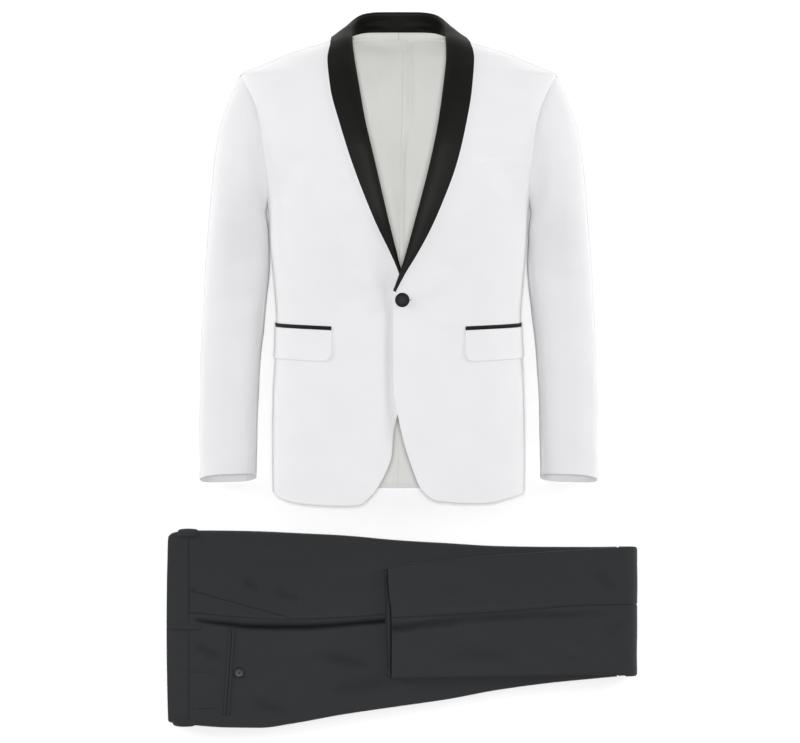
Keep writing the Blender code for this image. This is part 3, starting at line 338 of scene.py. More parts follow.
def makeFinish(name, colour, rough, specular, sheen, weave, mottle):
    # a woven cloth: its colour wanders in soft patches and is darkened by an attribute of painted shade,
    # shade painted into its folds, seams and edges, and two crossed sets of threads lift its surface
    look = bpy.data.materials.new(name)
    look.use_nodes = True
    nodes, links = look.node_tree.nodes, look.node_tree.links
    shader = nodes["Principled BSDF"]
    for socket, value in (("Roughness", rough), ("Specular IOR Level", specular), ("Sheen Weight", sheen),
                          ("Sheen Roughness", woven["sheenRough"])):
        shader.inputs[socket].default_value = value
    place, laid = nodes.new("ShaderNodeTexCoord"), nodes.new("ShaderNodeUVMap")
    laid.uv_map = "cloth"
    patches = nodes.new("ShaderNodeTexNoise")
    patches.inputs["Scale"].default_value = 1 / mottle[1]
    patches.inputs["Detail"].default_value = woven["patchDetail"]
    links.new(place.outputs["Object"], patches.inputs["Vector"])
    mix = nodes.new("ShaderNodeMix")
    mix.data_type = "RGBA"
    for socket, share in ((6, 1 - mottle[0]), (7, 1 + mottle[0])):
        mix.inputs[socket].default_value = (*(min(c * share, 1) for c in colour), 1)
    links.new(patches.outputs["Fac"], mix.inputs["Factor"])
    # painted shade: the colour is mixed towards a far darker copy of it as far as the attribute says
    paintedShade, paintedShadeMix = nodes.new("ShaderNodeAttribute"), nodes.new("ShaderNodeMix")
    paintedShade.attribute_name, paintedShadeMix.data_type = "painted_shade", "RGBA"
    paintedShadeMix.inputs[7].default_value = (*(c * woven["inPaintedShade"] for c in colour), 1)
    links.new(paintedShade.outputs["Fac"], paintedShadeMix.inputs["Factor"])
    links.new(mix.outputs[2], paintedShadeMix.inputs[6])
    links.new(paintedShadeMix.outputs[2], shader.inputs["Base Color"])
    both = nodes.new("ShaderNodeMath")
    both.operation = "ADD"
    for socket, turn in enumerate(woven["turns"]):
        slanted = nodes.new("ShaderNodeMapping")
        slanted.inputs["Rotation"].default_value = (0, 0, turn)
        threads = nodes.new("ShaderNodeTexWave")
        threads.inputs["Scale"].default_value = woven["period"] / weave[0]
        threads.inputs["Distortion"].default_value = woven["wander"]
        threads.inputs["Detail Scale"].default_value = woven["wanderScale"]
        links.new(laid.outputs["UV"], slanted.inputs["Vector"])
        links.new(slanted.outputs["Vector"], threads.inputs["Vector"])
        links.new(threads.outputs["Fac"], both.inputs[socket])
    lift = nodes.new("ShaderNodeBump")
    lift.inputs["Distance"].default_value = weave[1]
    lift.inputs["Strength"].default_value = woven["lift"]
    links.new(both.outputs["Value"], lift.inputs["Height"])
    links.new(lift.outputs["Normal"], shader.inputs["Normal"])
    return look


looks = {name: makeFinish(name, **finish) for name, finish in finishes.items()}
print("finishes made")


def declare(node):
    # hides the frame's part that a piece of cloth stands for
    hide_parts(node)


form = {
    "middleX": -0.0053,  # the jacket's centre back in the set's frame
    "middle": (-0.0053, 0.15, 0.1),  # a place inside the body, from which its cloth looks away
    # sections across the body, each half a superellipse about the side seam's height; columns: y, half width
    "wide": [
        (-0.215, 0.1925), (-0.14, 0.1935), (-0.045, 0.193), (0.035, 0.188), (0.08, 0.1872), (0.14, 0.1915),
        (0.2, 0.1975), (0.2558, 0.2015), (0.335, 0.2225), (0.395, 0.2345), (0.4548, 0.243), (0.4562, 0.24),
        (0.4694, 0.208), (0.4874, 0.167), (0.5053, 0.109), (0.5175, 0.0785), (0.53, 0.072),
    ],
    # columns: y, back z, side z, front z
    "deep": [
        (-0.215, 0.0, 0.098, 0.206), (-0.14, 0.0, 0.098, 0.208), (-0.045, 0.0, 0.097, 0.21),
        (0.035, 0.0, 0.096, 0.212), (0.08, 0.0, 0.096, 0.214), (0.14, 0.0, 0.098, 0.221),
        (0.2, 0.0, 0.101, 0.23), (0.2558, 0.0, 0.104, 0.236), (0.335, 0.0, 0.106, 0.232),
        (0.395, 0.002, 0.104, 0.216), (0.44, 0.0065, 0.1, 0.1965), (0.487, 0.02, 0.094, 0.1665),
        (0.5175, 0.036, 0.092, 0.148), (0.53, 0.038, 0.092, 0.14),
    ],
    "frontRound": 2.7, "backRound": 3.5,
    "settle": 0.0015,  # how far the back is pressed flat on the surface
    # how far the lower front is pressed in where the upper one crosses it; columns: y, depth, and the x at
    # which the slope down to it starts and ends
    "pressed": [
        (-0.215, 0.003, 0.04, 0.01), (-0.14, 0.0042, 0.034, 0.006), (-0.09, 0.0084, 0.029, 0.003),
        (0.095, 0.0094, 0.029, 0.003), (0.125, 0.0094, 0.046, 0.011), (0.16, 0.0094, 0.055, 0.012),
        (0.24, 0.001, 0.055, 0.012), (0.3, 0.0, 0.055, 0.012),
    ],
}


def body(y, angle, under=False):
    # the jacket's outer form at height y and angle round the body: 0 centre back, pi / 2 side, pi centre
    # front. Half a superellipse: x is the half width times a power of the sine, z the depth times one of the
    # cosine. under is the lower front, which is pressed in where the upper one crosses it
    half, back, side, front = one(form["wide"], y), *np.moveaxis(smooth(form["deep"], y), -1, 0)
    c, s = np.cos(angle), np.sin(angle)
    e = 2 / np.where(c < 0, form["frontRound"], form["backRound"])
    x = half * power(s, e)
    z = side + np.where(c < 0, front - side, back - side) * np.abs(c) ** e
    if under:
        depth, starts, stops = np.moveaxis(smooth(form["pressed"], y), -1, 0)
        z = z - depth * ease((starts - x) / (starts - stops)) * (c < 0)
    return np.stack([x, y + 0 * x, np.maximum(z - form["settle"], 0)], -1)


def outward(y, angle, under=False):
    # the form's normal: the cross product of its changes along y and round the body, a thousandth each way
    step = 1e-3
    across = body(y, angle + step, under) - body(y, angle - step, under)
    along = body(y + step, angle, under) - body(y - step, angle, under)
    return unit(np.cross(along, across))


def frontAngle(x, y):
    # the angle round the body of a point of the front that lies x from the centre
    return np.pi - np.arcsin(power(np.clip(x / one(form["wide"], y), -1, 1), form["frontRound"] / 2))


def backAngle(x, y):
    # the same for a point of the back
    return np.arcsin(power(np.clip(x / one(form["wide"], y), -1, 1), form["backRound"] / 2))


def onFront(x, y, lift=0.0, under=False):
    # a point of a front at x and y, lifted off the form along its normal
    angle = frontAngle(x, y)
    return body(y, angle, under) + np.asarray(lift)[..., None] * outward(y, angle, under)


def placed(grid, side):
    # a grid of the wearer's left, or mirrored to the right, moved to the jacket's place
    return grid * (side, 1, 1) + (form["middleX"], 0, 0)


armhole = {
    # the ring is a superellipse seen from the side, rounder above than below
    "y": 0.3553, "half": 0.0995, "front": 0.068, "back": 0.064, "round": (1.95, 2.5),
    "frontSeam": 154.5, "backSeam": 244.5,  # ring angles of the side body's seams
    "frontAngle": 99.5, "backAngle": 68.8,  # the same seams' angles round the body
    "frontSteps": 10, "sideSteps": 6, "backSteps": 8,
    "fine": 6,  # fine rows to each step
}


def ring(angle, grown=1.0):
    # a point of the armhole as height and angle round the body; 0 shoulder, 90 front, 180 underarm, 270 back
    c, s = np.cos(np.radians(angle)), np.sin(np.radians(angle))
    e = 2 / np.where(c > 0, *armhole["round"])
    y = armhole["y"] + armhole["half"] * grown * power(c, e)
    back, side, front = np.moveaxis(smooth(form["deep"], y), -1, 0)
    reach = np.where(s > 0, armhole["front"] / (front - side), armhole["back"] / (side - back))
    reach = reach * grown * np.abs(s) ** e
    turn = np.arccos(np.clip(reach, 0, 1) ** (np.where(s > 0, form["frontRound"], form["backRound"]) / 2))
    return y, np.where(s > 0, np.pi - turn, turn)


def ringSteps():
    # ring angles from the shoulder forward and all the way round, in equal steps from seam to seam
    seams = (0, armhole["frontSeam"], armhole["backSeam"], 360)
    steps = [armhole[part] * armhole["fine"] for part in ("frontSteps", "sideSteps", "backSteps")]
    parts = [np.linspace(start, end, n + 1)[1:] for start, end, n in zip(seams, seams[1:], steps)]
    return np.concatenate([[0], *parts])


panels = {
    # the two sides' hems, over and under at the front; columns: angle round the body in degrees, y
    "hem": {
        "over": [
            (0, -0.1845), (60, -0.1845), (90, -0.188), (114, -0.1923), (127, -0.1972), (144, -0.2028),
            (155, -0.2025), (165, -0.2),
        ],
        "under": [
            (0, -0.1845), (60, -0.1845), (90, -0.185), (120, -0.1985), (140, -0.2045), (160, -0.2065),
            (165, -0.2063),
        ],
    },
    # front edge from the rounded quarter up to the break of the lapel; columns: y, x towards the piece's side
    "edge": {
        "over": [
            (-0.1998, 0.063), (-0.1957, 0.0504), (-0.1871, 0.0402), (-0.1783, 0.0326), (-0.1639, 0.0263),
            (-0.1467, 0.02), (-0.1164, 0.0099), (-0.0728, -0.0003), (-0.0455, -0.0063), (-0.0197, -0.0085),
            (0.05, -0.0085), (0.116, -0.0083),
        ],
        "under": [
            (-0.2063, 0.069), (-0.2048, 0.0584), (-0.1942, 0.0447), (-0.1859, 0.0371), (-0.1707, 0.0268),
            (-0.1472, 0.0154), (-0.1305, 0.0103), (-0.095, 0.007), (-0.045, -0.005), (0.0, -0.017),
            (0.1, -0.018), (0.116, -0.017),
        ],
    },
    # how far outside the collar's roll a front's edge runs on, what is added above a height, and that height
    "beyondRoll": (0.0025, 0.003, 0.45),
    "breakRoom": 0.02,  # from the front edge's upper end to the first place that follows the roll
    # heights of the rows at the front seam, the back seam and the front edge
    "rows": [
        (-0.184, -0.17, -0.1957), (-0.175, -0.155, -0.1871), (-0.165, -0.137, -0.1783),
        (-0.15, -0.115, -0.1639), (-0.13, -0.09, -0.1467), (-0.105, -0.06, -0.1164), (-0.065, -0.02, -0.0728),
        (-0.02, 0.025, -0.0197), (0.025, 0.065, 0.025), (0.065, 0.105, 0.065), (0.105, 0.145, 0.108),
        (0.155, 0.195, 0.158), (0.18, 0.219, 0.183), (0.205, 0.242, 0.208), (0.24, 0.28, 0.25),
    ],
    # neckline end of the fronts' and the backs' upper rows; columns: share of the way up, y
    "frontTop": [
        (0, 0.28), (0.3, 0.364), (0.6, 0.452), (0.7, 0.481), (0.8, 0.502), (0.9, 0.513), (1, 0.5175),
    ],
    "backTop": [(0, 0.33), (0.25, 0.425), (0.5, 0.5245), (1, 0.5245)],
    "sideNeck": 0.5175,  # y of the neckline at the shoulder's seam
    "frontColumns": 60, "frontCrowd": 1.6,  # columns lie closer together towards a front's edge
    "backColumns": 56,
    "hemReach": 0.06,  # height over which the rows bend onto the hem
    "underarmReach": 0.15,  # and over which a side body's rows bend onto the ring
}


def heights(low, column, top):
    # a seam's heights from the hem to the armhole's first row, which is left out
    return finer([low] + [row[column] for row in panels["rows"]] + [top], armhole["fine"])[:-1]


def patch(first, last, cols, crowd=1.0):
    # rows of heights and angles in straight lines between two seams; crowd over 1 brings the columns closer
    # together towards the last seam
    share = 1 - np.linspace(1, 0, cols + 1) ** crowd
    return tuple(np.outer(a, 1 - share) + np.outer(b, share) for a, b in zip(first, last))


def hemmed(rows, hem):
    # bends the lowest rows of a patch onto the hem line
    y, angle = rows
    drop, reach = one(hem, np.degrees(angle[0])) - y[0], panels["hemReach"]
    return y + drop * ease((y[0] + reach - y) / reach), angle


def frontPatch(hem, edge, lapel):
    # a front, from its side seam and armhole to its rounded edge and neckline
    steps = armhole["frontSteps"] * armhole["fine"]
    ringY, ringAngle = ring(ringSteps()[steps::-1])
    seamY = heights(one(hem, armhole["frontAngle"]), 0, ringY[0])
    seam = (np.concatenate([seamY, ringY]),
            np.concatenate([0 * seamY + np.radians(armhole["frontAngle"]), ringAngle]))
    beyond, more, above = panels["beyondRoll"]
    edge = np.array(edge + [(y, x + beyond + more * (y > above)) for x, y, *_ in lapel[::-1]
                            if y > edge[-1][0] + panels["breakRoom"]])
    shift = edge[1, 0] - panels["edge"]["over"][1][0]
    rows = [edge[0, 0]] + [row[2] + shift for row in panels["rows"]] + [panels["frontTop"][0][1]]
    upper = one(panels["frontTop"], np.linspace(0, 1, len(ringY)))
    level = np.concatenate([finer(rows, armhole["fine"])[:-1], upper])
    innerAngle = frontAngle(one(edge, level), level)
    innerAngle[-1] = np.pi / 2
    return hemmed(patch(seam, (level, innerAngle), panels["frontColumns"], panels["frontCrowd"]), hem)


def sidePatch(hem):
    # a side body, from the front's seam to the back's and up to the underarm
    k, start = armhole["fine"], armhole["frontSteps"] * armhole["fine"]
    ringY, ringAngle = ring(ringSteps()[start:start + armhole["sideSteps"] * k + 1])
    ends = []
    for column, degrees, top in ((0, armhole["frontAngle"], ringY[0]), (1, armhole["backAngle"], ringY[-1])):
        seamY = np.append(heights(one(hem, degrees), column, top), top)
        ends.append((seamY, 0 * seamY + np.radians(degrees)))
    y, angle = patch(*ends, armhole["sideSteps"] * k)
    fade = ease(1 - (ringY - y) / panels["underarmReach"])
    return hemmed((y + (ringY - y[-1]) * fade, angle + (ringAngle - angle[-1]) * fade), hem)


def backPatch(hem, columns):
    # a back, from the side body's seam and armhole to the centre back and the neckline
    k = armhole["fine"]
    ringY, ringAngle = ring(ringSteps()[(armhole["frontSteps"] + armhole["sideSteps"]) * k:])
    seamY = heights(one(hem, armhole["backAngle"]), 1, ringY[0])
    seam = (np.concatenate([seamY, ringY]),
            np.concatenate([0 * seamY + np.radians(armhole["backAngle"]), ringAngle]))
    climb, top = np.linspace(0, 1, len(ringY)), panels["backTop"]
    turn = np.pi / 2 * ease((climb - 0.5) / 0.5)
    level = one(top, climb) - (top[-1][1] - panels["sideNeck"]) * np.sin(turn) ** 4
    centre = (np.concatenate([heights(hem[0][1], 1, top[0][1]), level]), np.concatenate([0 * seamY, turn]))
    return hemmed(patch(seam, centre, columns, form["backRound"] / 2), hem)


collar = {
    # down the two fronts; columns: roll x, roll y, edge x, edge y, stand height, bow of the leaf
    "over": [
        (0.0765, 0.5, 0.1095, 0.4965, 0.014, 0.0036), (0.0767, 0.479, 0.115, 0.473, 0.013, 0.0046),
        (0.0722, 0.4345, 0.1112, 0.425, 0.012, 0.0048), (0.0644, 0.3772, 0.101, 0.3665, 0.012, 0.0045),
        (0.0535, 0.3221, 0.0872, 0.3105, 0.012, 0.0032), (0.0397, 0.266, 0.0682, 0.2585, 0.012, 0.0024),
        (0.0274, 0.22, 0.0477, 0.212, 0.011, 0.0028), (0.0156, 0.1778, 0.0262, 0.1725, 0.009, 0.0018),
        (0.0068, 0.1522, 0.011, 0.1475, 0.006, 0.001), (-0.0062, 0.119, -0.0047, 0.118, 0.004, 0.0004),
    ],
    "under": [
        (0.0741, 0.5, 0.1035, 0.497, 0.014, 0.0036), (0.0713, 0.479, 0.108, 0.472, 0.013, 0.0046),
        (0.064, 0.4345, 0.1031, 0.4265, 0.012, 0.0046), (0.054, 0.3772, 0.0873, 0.368, 0.012, 0.0042),
        (0.0411, 0.3221, 0.0697, 0.313, 0.012, 0.0028), (0.0281, 0.266, 0.0498, 0.26, 0.011, 0.002),
        (0.0173, 0.22, 0.0308, 0.215, 0.009, 0.002), (0.0066, 0.1778, 0.0113, 0.176, 0.007, 0.0012),
        (0.0002, 0.156, 0.0025, 0.1555, 0.005, 0.0008), (-0.0085, 0.133, -0.0055, 0.132, 0.005, 0.0008),
    ],
    # round the neck, from the centre back; columns: roll x, y, z, edge angle in degrees, edge y, angle in
    # degrees and y of the stand's seam, bow
    "neck": [
        (0.0, 0.551, 0.045, 0.0, 0.5126, 0.0, 0.5242, 0.002),
        (0.03, 0.5508, 0.0465, 10.5, 0.5122, 12.6, 0.5242, 0.002),
        (0.0505, 0.5482, 0.0525, 31.5, 0.5115, 33.0, 0.5237, 0.002),
        (0.0638, 0.5415, 0.0655, 54.0, 0.5105, 55.0, 0.522, 0.002),
        (0.0703, 0.5325, 0.086, 76.0, 0.51, 84.0, 0.5187, 0.0022),
        (0.0748, 0.5205, 0.112, 96.0, 0.5075, 105.0, 0.515, 0.003),
    ],
    "tipRadius": 0.0012,  # of the fold at the lapel's lower point
    "tipFrom": 0.86,  # share of the way at which the fold starts to grow thinner
    "foldRadius": 0.003,  # half the distance between the leaf's and the stand's middle surfaces
    "neckEase": 0.0022,  # how much further the leaf stands off at the back
    "standLean": 0.0014,  # how much deeper than the fold the stand's lower edge lies
    "stations": 237, "standSteps": 12, "foldSteps": 12, "leafSteps": 36,
    "bowPower": 0.7,  # under 1, the leaf's bow is fullest nearer to the fold
    "bowMost": 0.07,  # and at most this share of the leaf's width
    "rims": (0.00003, 0.0006, 0.0009, 0.001),  # the halves meet flush at the centre back
    "firstStep": 0.03,  # share of the first step at which a row is added for that
    "standTo": 16,  # columns, with the added ones, in the stand's satin, a darker copy that paints the shade inside the neck
    "standShare": 0.22,  # of the section's points, where the ripples are placed
    # ripples of the satin on the inside of the stand; columns: share round the neck, share up the stand, the
    # same at the other end, bow, width, depth
    "ripples": [
        (0.0, 0.3, 0.17, 0.42, 0.0, 0.003, -0.0009), (0.01, 0.62, 0.15, 0.55, 0.0, 0.0026, 0.0008),
        (0.05, 0.12, 0.21, 0.2, 0.0, 0.0032, 0.0007), (0.09, 0.8, 0.24, 0.74, 0.0, 0.003, -0.0007),
    ],
    "flat": (0.1, 0.62), "area": 0.036,
}

frontPanels = {
    # soft folds; columns: from x, y, to x, y, bow, width, depth (below 0 for a trough)
    "over": [
        (0.02, 0.06, 0.034, -0.12, 0.004, 0.014, 0.0012), (0.052, 0.04, 0.07, -0.15, -0.006, 0.018, -0.0011),
        (0.112, 0.02, 0.118, -0.17, 0.004, 0.016, 0.0012), (0.09, 0.235, 0.098, 0.085, 0.003, 0.007, -0.0009),
        (0.02, 0.098, 0.09, 0.12, 0.004, 0.007, -0.0009), (0.024, 0.112, 0.08, 0.152, 0.003, 0.008, 0.0007),
        (0.03, 0.08, 0.105, 0.07, -0.006, 0.009, 0.0007), (0.13, 0.33, 0.176, 0.268, 0.01, 0.013, -0.0017),
        (0.12, 0.29, 0.168, 0.245, 0.006, 0.011, 0.0011), (0.095, 0.44, 0.15, 0.4, 0.006, 0.016, -0.0012),
        (0.145, 0.075, 0.176, 0.105, 0.002, 0.008, -0.001),
    ],
    "under": [
        (0.025, 0.19, 0.029, -0.14, 0.003, 0.014, -0.003), (0.01, 0.1, 0.014, -0.12, 0.002, 0.007, -0.0012),
        (0.056, 0.03, 0.066, -0.165, -0.005, 0.017, -0.0011),
        (0.106, 0.01, 0.116, -0.16, 0.004, 0.018, 0.0012), (0.086, 0.238, 0.084, 0.07, 0.003, 0.007, -0.001),
        (0.026, 0.12, 0.088, 0.098, 0.004, 0.008, -0.0008), (0.03, 0.135, 0.092, 0.14, -0.003, 0.008, 0.0007),
        (0.128, 0.335, 0.178, 0.272, 0.012, 0.013, -0.0018), (0.122, 0.3, 0.17, 0.24, 0.004, 0.01, 0.0012),
        (0.1, 0.452, 0.14, 0.39, 0.006, 0.015, -0.0011), (0.15, 0.085, 0.178, 0.118, 0.002, 0.008, -0.001),
    ],
    "uneven": 0.00035, "reach": 0.11, "seed": 4,
    "rims": (0.0014, 0.0009, 0.0009, 0.0018),  # hem, neckline, side seam, front edge
    "facingFrom": 0.72,  # share of the way to the front edge where the lining ends
    "flat": (0.25, 0.78), "area": 0.15,
}


def frontCloth(y, angle, key, lift=0.0):
    # the outer face of a front with its folds, lifted by a height
    under = key == "under"
    surface = body(y, angle, under)
    height = creased(surface, lambda a, b: onFront(a, b, 0 * a, under), frontPanels[key])
    height += drift(surface, frontPanels["uneven"], frontPanels["reach"], frontPanels["seed"] + under)
    return surface + (height + lift)[..., None] * outward(y, angle, under)


def makeFronts():
    # the faces inside a front are lining, but for the facing along its edge
    def facing(at):
        return np.tile(np.linspace(0, 1, at.shape[1]) < frontPanels["facingFrom"], (len(at), 1))

    for hand, side, key in hands:
        y, angle = frontPatch(panels["hem"][key], panels["edge"][key], collar[key])
        surface = placed(frontCloth(y, angle, key), side)
        piece = shell("front" + hand, surface, [looks["whiteWool"], looks["paleLining"]], cloth["jacket"],
                      awayFrom=form["middle"], rim=frontPanels["rims"], innerLook=facing)
        declare("front_" + hand.lower())


sideBodies = {
    # soft folds; columns: share across, share up, the same at the other end, bow, width, depth
    "Left": [
        (0.2, 0.62, 0.85, 0.7, 0.04, 0.009, -0.0016), (0.1, 0.5, 0.75, 0.56, -0.03, 0.008, 0.001),
        (0.15, 0.84, 0.8, 0.93, 0.02, 0.01, -0.0014), (0.45, 0.1, 0.55, 0.4, 0.05, 0.014, 0.001),
    ],
    "Right": [
        (0.15, 0.6, 0.9, 0.66, 0.03, 0.009, -0.0015), (0.25, 0.72, 0.8, 0.8, -0.03, 0.008, 0.0009),
        (0.2, 0.5, 0.7, 0.53, 0.02, 0.009, -0.001), (0.5, 0.08, 0.45, 0.36, 0.04, 0.014, 0.0011),
    ],
    "uneven": 0.0004, "reach": 0.09, "seed": 11,
    "lined": (-0.155, 9.0),  # y from which and up to which the inside is lining
    "flat": (0.12, 0.47), "area": 0.039,
}

backs = {
    # the same, from the side seam to the centre
    "Left": [
        (0.1, 0.42, 0.7, 0.49, 0.03, 0.012, -0.0018), (0.12, 0.5, 0.6, 0.55, -0.03, 0.01, 0.001),
        (0.05, 0.74, 0.45, 0.66, 0.03, 0.013, -0.0018), (0.35, 0.1, 0.42, 0.34, 0.03, 0.016, 0.001),
    ],
    "Right": [
        (0.08, 0.4, 0.62, 0.46, 0.03, 0.012, -0.0016), (0.16, 0.47, 0.72, 0.54, -0.02, 0.01, 0.0011),
        (0.04, 0.76, 0.5, 0.69, 0.04, 0.014, -0.002), (0.3, 0.08, 0.36, 0.3, 0.02, 0.016, 0.0011),
    ],
    "uneven": 0.0004, "reach": 0.12, "seed": 21,
    "lined": (-0.16, 0.5215),
    "flatTo": 0.02,  # z below which the folds fade out, towards the surface
    "flat": (0.26, 0.8), "area": 0.153,
}


def onGrid(surface):
    # a place on a surface by its shares across and along
    def place(across, along):
        i = np.round(np.clip(along, 0, 1) * (surface.shape[0] - 1)).astype(int)
        j = np.round(np.clip(across, 0, 1) * (surface.shape[1] - 1)).astype(int)
        return surface[i, j]
    return place


def lined(low, high):
    # the inner face is lining between the turned-up hem and the neck's facing
    return lambda at: (at[..., 1] > low) & (at[..., 1] < high)


def makeBodyPanel(name, node, hand, side, rows, panel):
    # a side body or a back: the form, lifted along its normal by the panel's folds
    y, angle = rows
    surface, normal = body(y, angle), outward(y, angle)
    height = creased(surface, onGrid(surface), panel[hand])
    height += drift(surface, panel["uneven"], panel["reach"], panel["seed"] + side)
    if "flatTo" in panel:
        height = height * ease(surface[..., 2] / panel["flatTo"])
    piece = shell(name + hand, placed(surface + height[..., None] * normal, side),
                  [looks["whiteWool"], looks["paleLining"]], cloth["jacket"], form["middle"],
                  innerLook=lined(*panel["lined"]))
    declare(node + hand.lower())


def makeSidesAndBacks():
    # each side body rests on its back, and the backs on the surface
    for hand, side, key in hands:
        makeBodyPanel("sideBody", "side_body_", hand, side, sidePatch(panels["hem"][key]), sideBodies)
    for hand, side, key in hands:
        rows = backPatch(panels["hem"][key], panels["backColumns"])
        makeBodyPanel("back", "back_", hand, side, rows, backs)


lining = {
    "columns": 76, "skipped": 4,  # of the back's columns, beside the side seam
    "low": (0.0072, 0.03),  # its folded edge's height over the back's hem, and the reach of that
    "neck": (0.0105, 0.44, 0.08),  # depth of its upper edge below the neckline, from what y, over what height
    "seamPower": 6,  # how quickly the centre seam's wander fades towards the side
    # the centre seam wanders; columns: y, x
    "seam": [(-0.19, -0.0008), (0.05, 0.0), (0.38, 0.0048), (0.42, 0.0063), (0.53, 0.0063)],
    # a pleat beside it: an edge, raised on the wearer's right; columns: y, x of the edge, height of the step
    "pleat": [
        (-0.19, 0.001, 0.0), (0.0, 0.003, 0.0008), (0.15, 0.0062, 0.0022), (0.33, 0.0078, 0.0028),
        (0.37, 0.012, 0.001), (0.4, 0.02, 0.0), (0.53, 0.02, 0.0),
    ],
    "pleatEdge": 0.0034, "pleatBack": 0.03,  # how steep its edge is, how softly it runs out behind
    # columns: from x, y, to x, y, bow, width, depth
    "folds": [
        (0.0165, 0.56, 0.0185, 0.365, 0.001, 0.0042, 0.0028), (0.024, 0.52, 0.026, 0.4, 0.002, 0.006, -0.001),
        (-0.046, 0.5, -0.028, 0.3, 0.004, 0.01, 0.0016), (-0.03, 0.48, -0.018, 0.33, -0.003, 0.009, -0.0014),
        (-0.012, 0.3, -0.008, 0.19, 0.002, 0.007, -0.0016), (0.056, 0.5, 0.036, 0.32, -0.004, 0.011, 0.0014),
        (0.042, 0.47, 0.028, 0.29, 0.003, 0.01, -0.0015), (-0.062, 0.51, 0.01, 0.497, 0.0, 0.007, 0.001),
        (0.006, 0.492, 0.064, 0.505, 0.0, 0.008, -0.0009), (-0.09, 0.43, -0.07, 0.2, 0.006, 0.015, 0.0018),
        (0.1, 0.42, 0.076, 0.18, -0.006, 0.015, 0.0018),
        (-0.025, -0.06, -0.012, -0.165, 0.002, 0.008, 0.0012),
        (0.018, -0.07, 0.013, -0.16, 0.002, 0.008, -0.0012), (-0.12, 0.05, 0.09, 0.02, 0.0, 0.016, 0.0016),
    ],
    "uneven": 0.0003, "reach": 0.08, "seed": 51,
    "flat": (0.25, 0.77), "area": 0.14,
}


def onPlan(a, b):
    # a place as seen from above
    return np.stack([a, b, 0 * a], -1)


def makeLining():
    # two halves inside the backs; the seam between them and the folds on them are given as seen from above
    low, lowReach = lining["low"]
    neck, neckFrom, neckReach = lining["neck"]
    depth = cloth["jacket"] + cloth["gap"] + cloth["lining"]
    for hand, side, key in hands:
        y, angle = (grid[:-armhole["fine"], lining["skipped"]:]
                    for grid in backPatch(panels["hem"][key], lining["columns"]))
        atCentre = angle[:, -1:] < 0.01
        wander = backAngle(side * one(lining["seam"], y[:, -1:]), y[:, -1:]) * atCentre
        angle = angle + wander * np.linspace(0, 1, angle.shape[1]) ** lining["seamPower"]
        y = y + low * ease((y[0] + lowReach - y) / lowReach) - neck * ease((y - neckFrom) / neckReach)
        surface, normal = body(y, angle), outward(y, angle)
        fold, step = np.moveaxis(smooth(lining["pleat"], y), -1, 0)
        over = surface[..., 0] * side - fold
        height = step * np.where(over > 0, ease(1 - over / lining["pleatEdge"]),
                                 ease(1 + over / lining["pleatBack"]))
        plan = surface * (side, 1, 0)
        height += creased(plan, onPlan, lining["folds"])
        height += drift(plan, lining["uneven"], lining["reach"], lining["seed"])
        surface = placed(surface - (depth + np.maximum(height, 0))[..., None] * normal, side)
        piece = shell("lining" + hand, surface, [looks["paleLining"]], cloth["lining"], form["middle"],
                      skin=1.0)
        declare("lining_" + hand.lower())


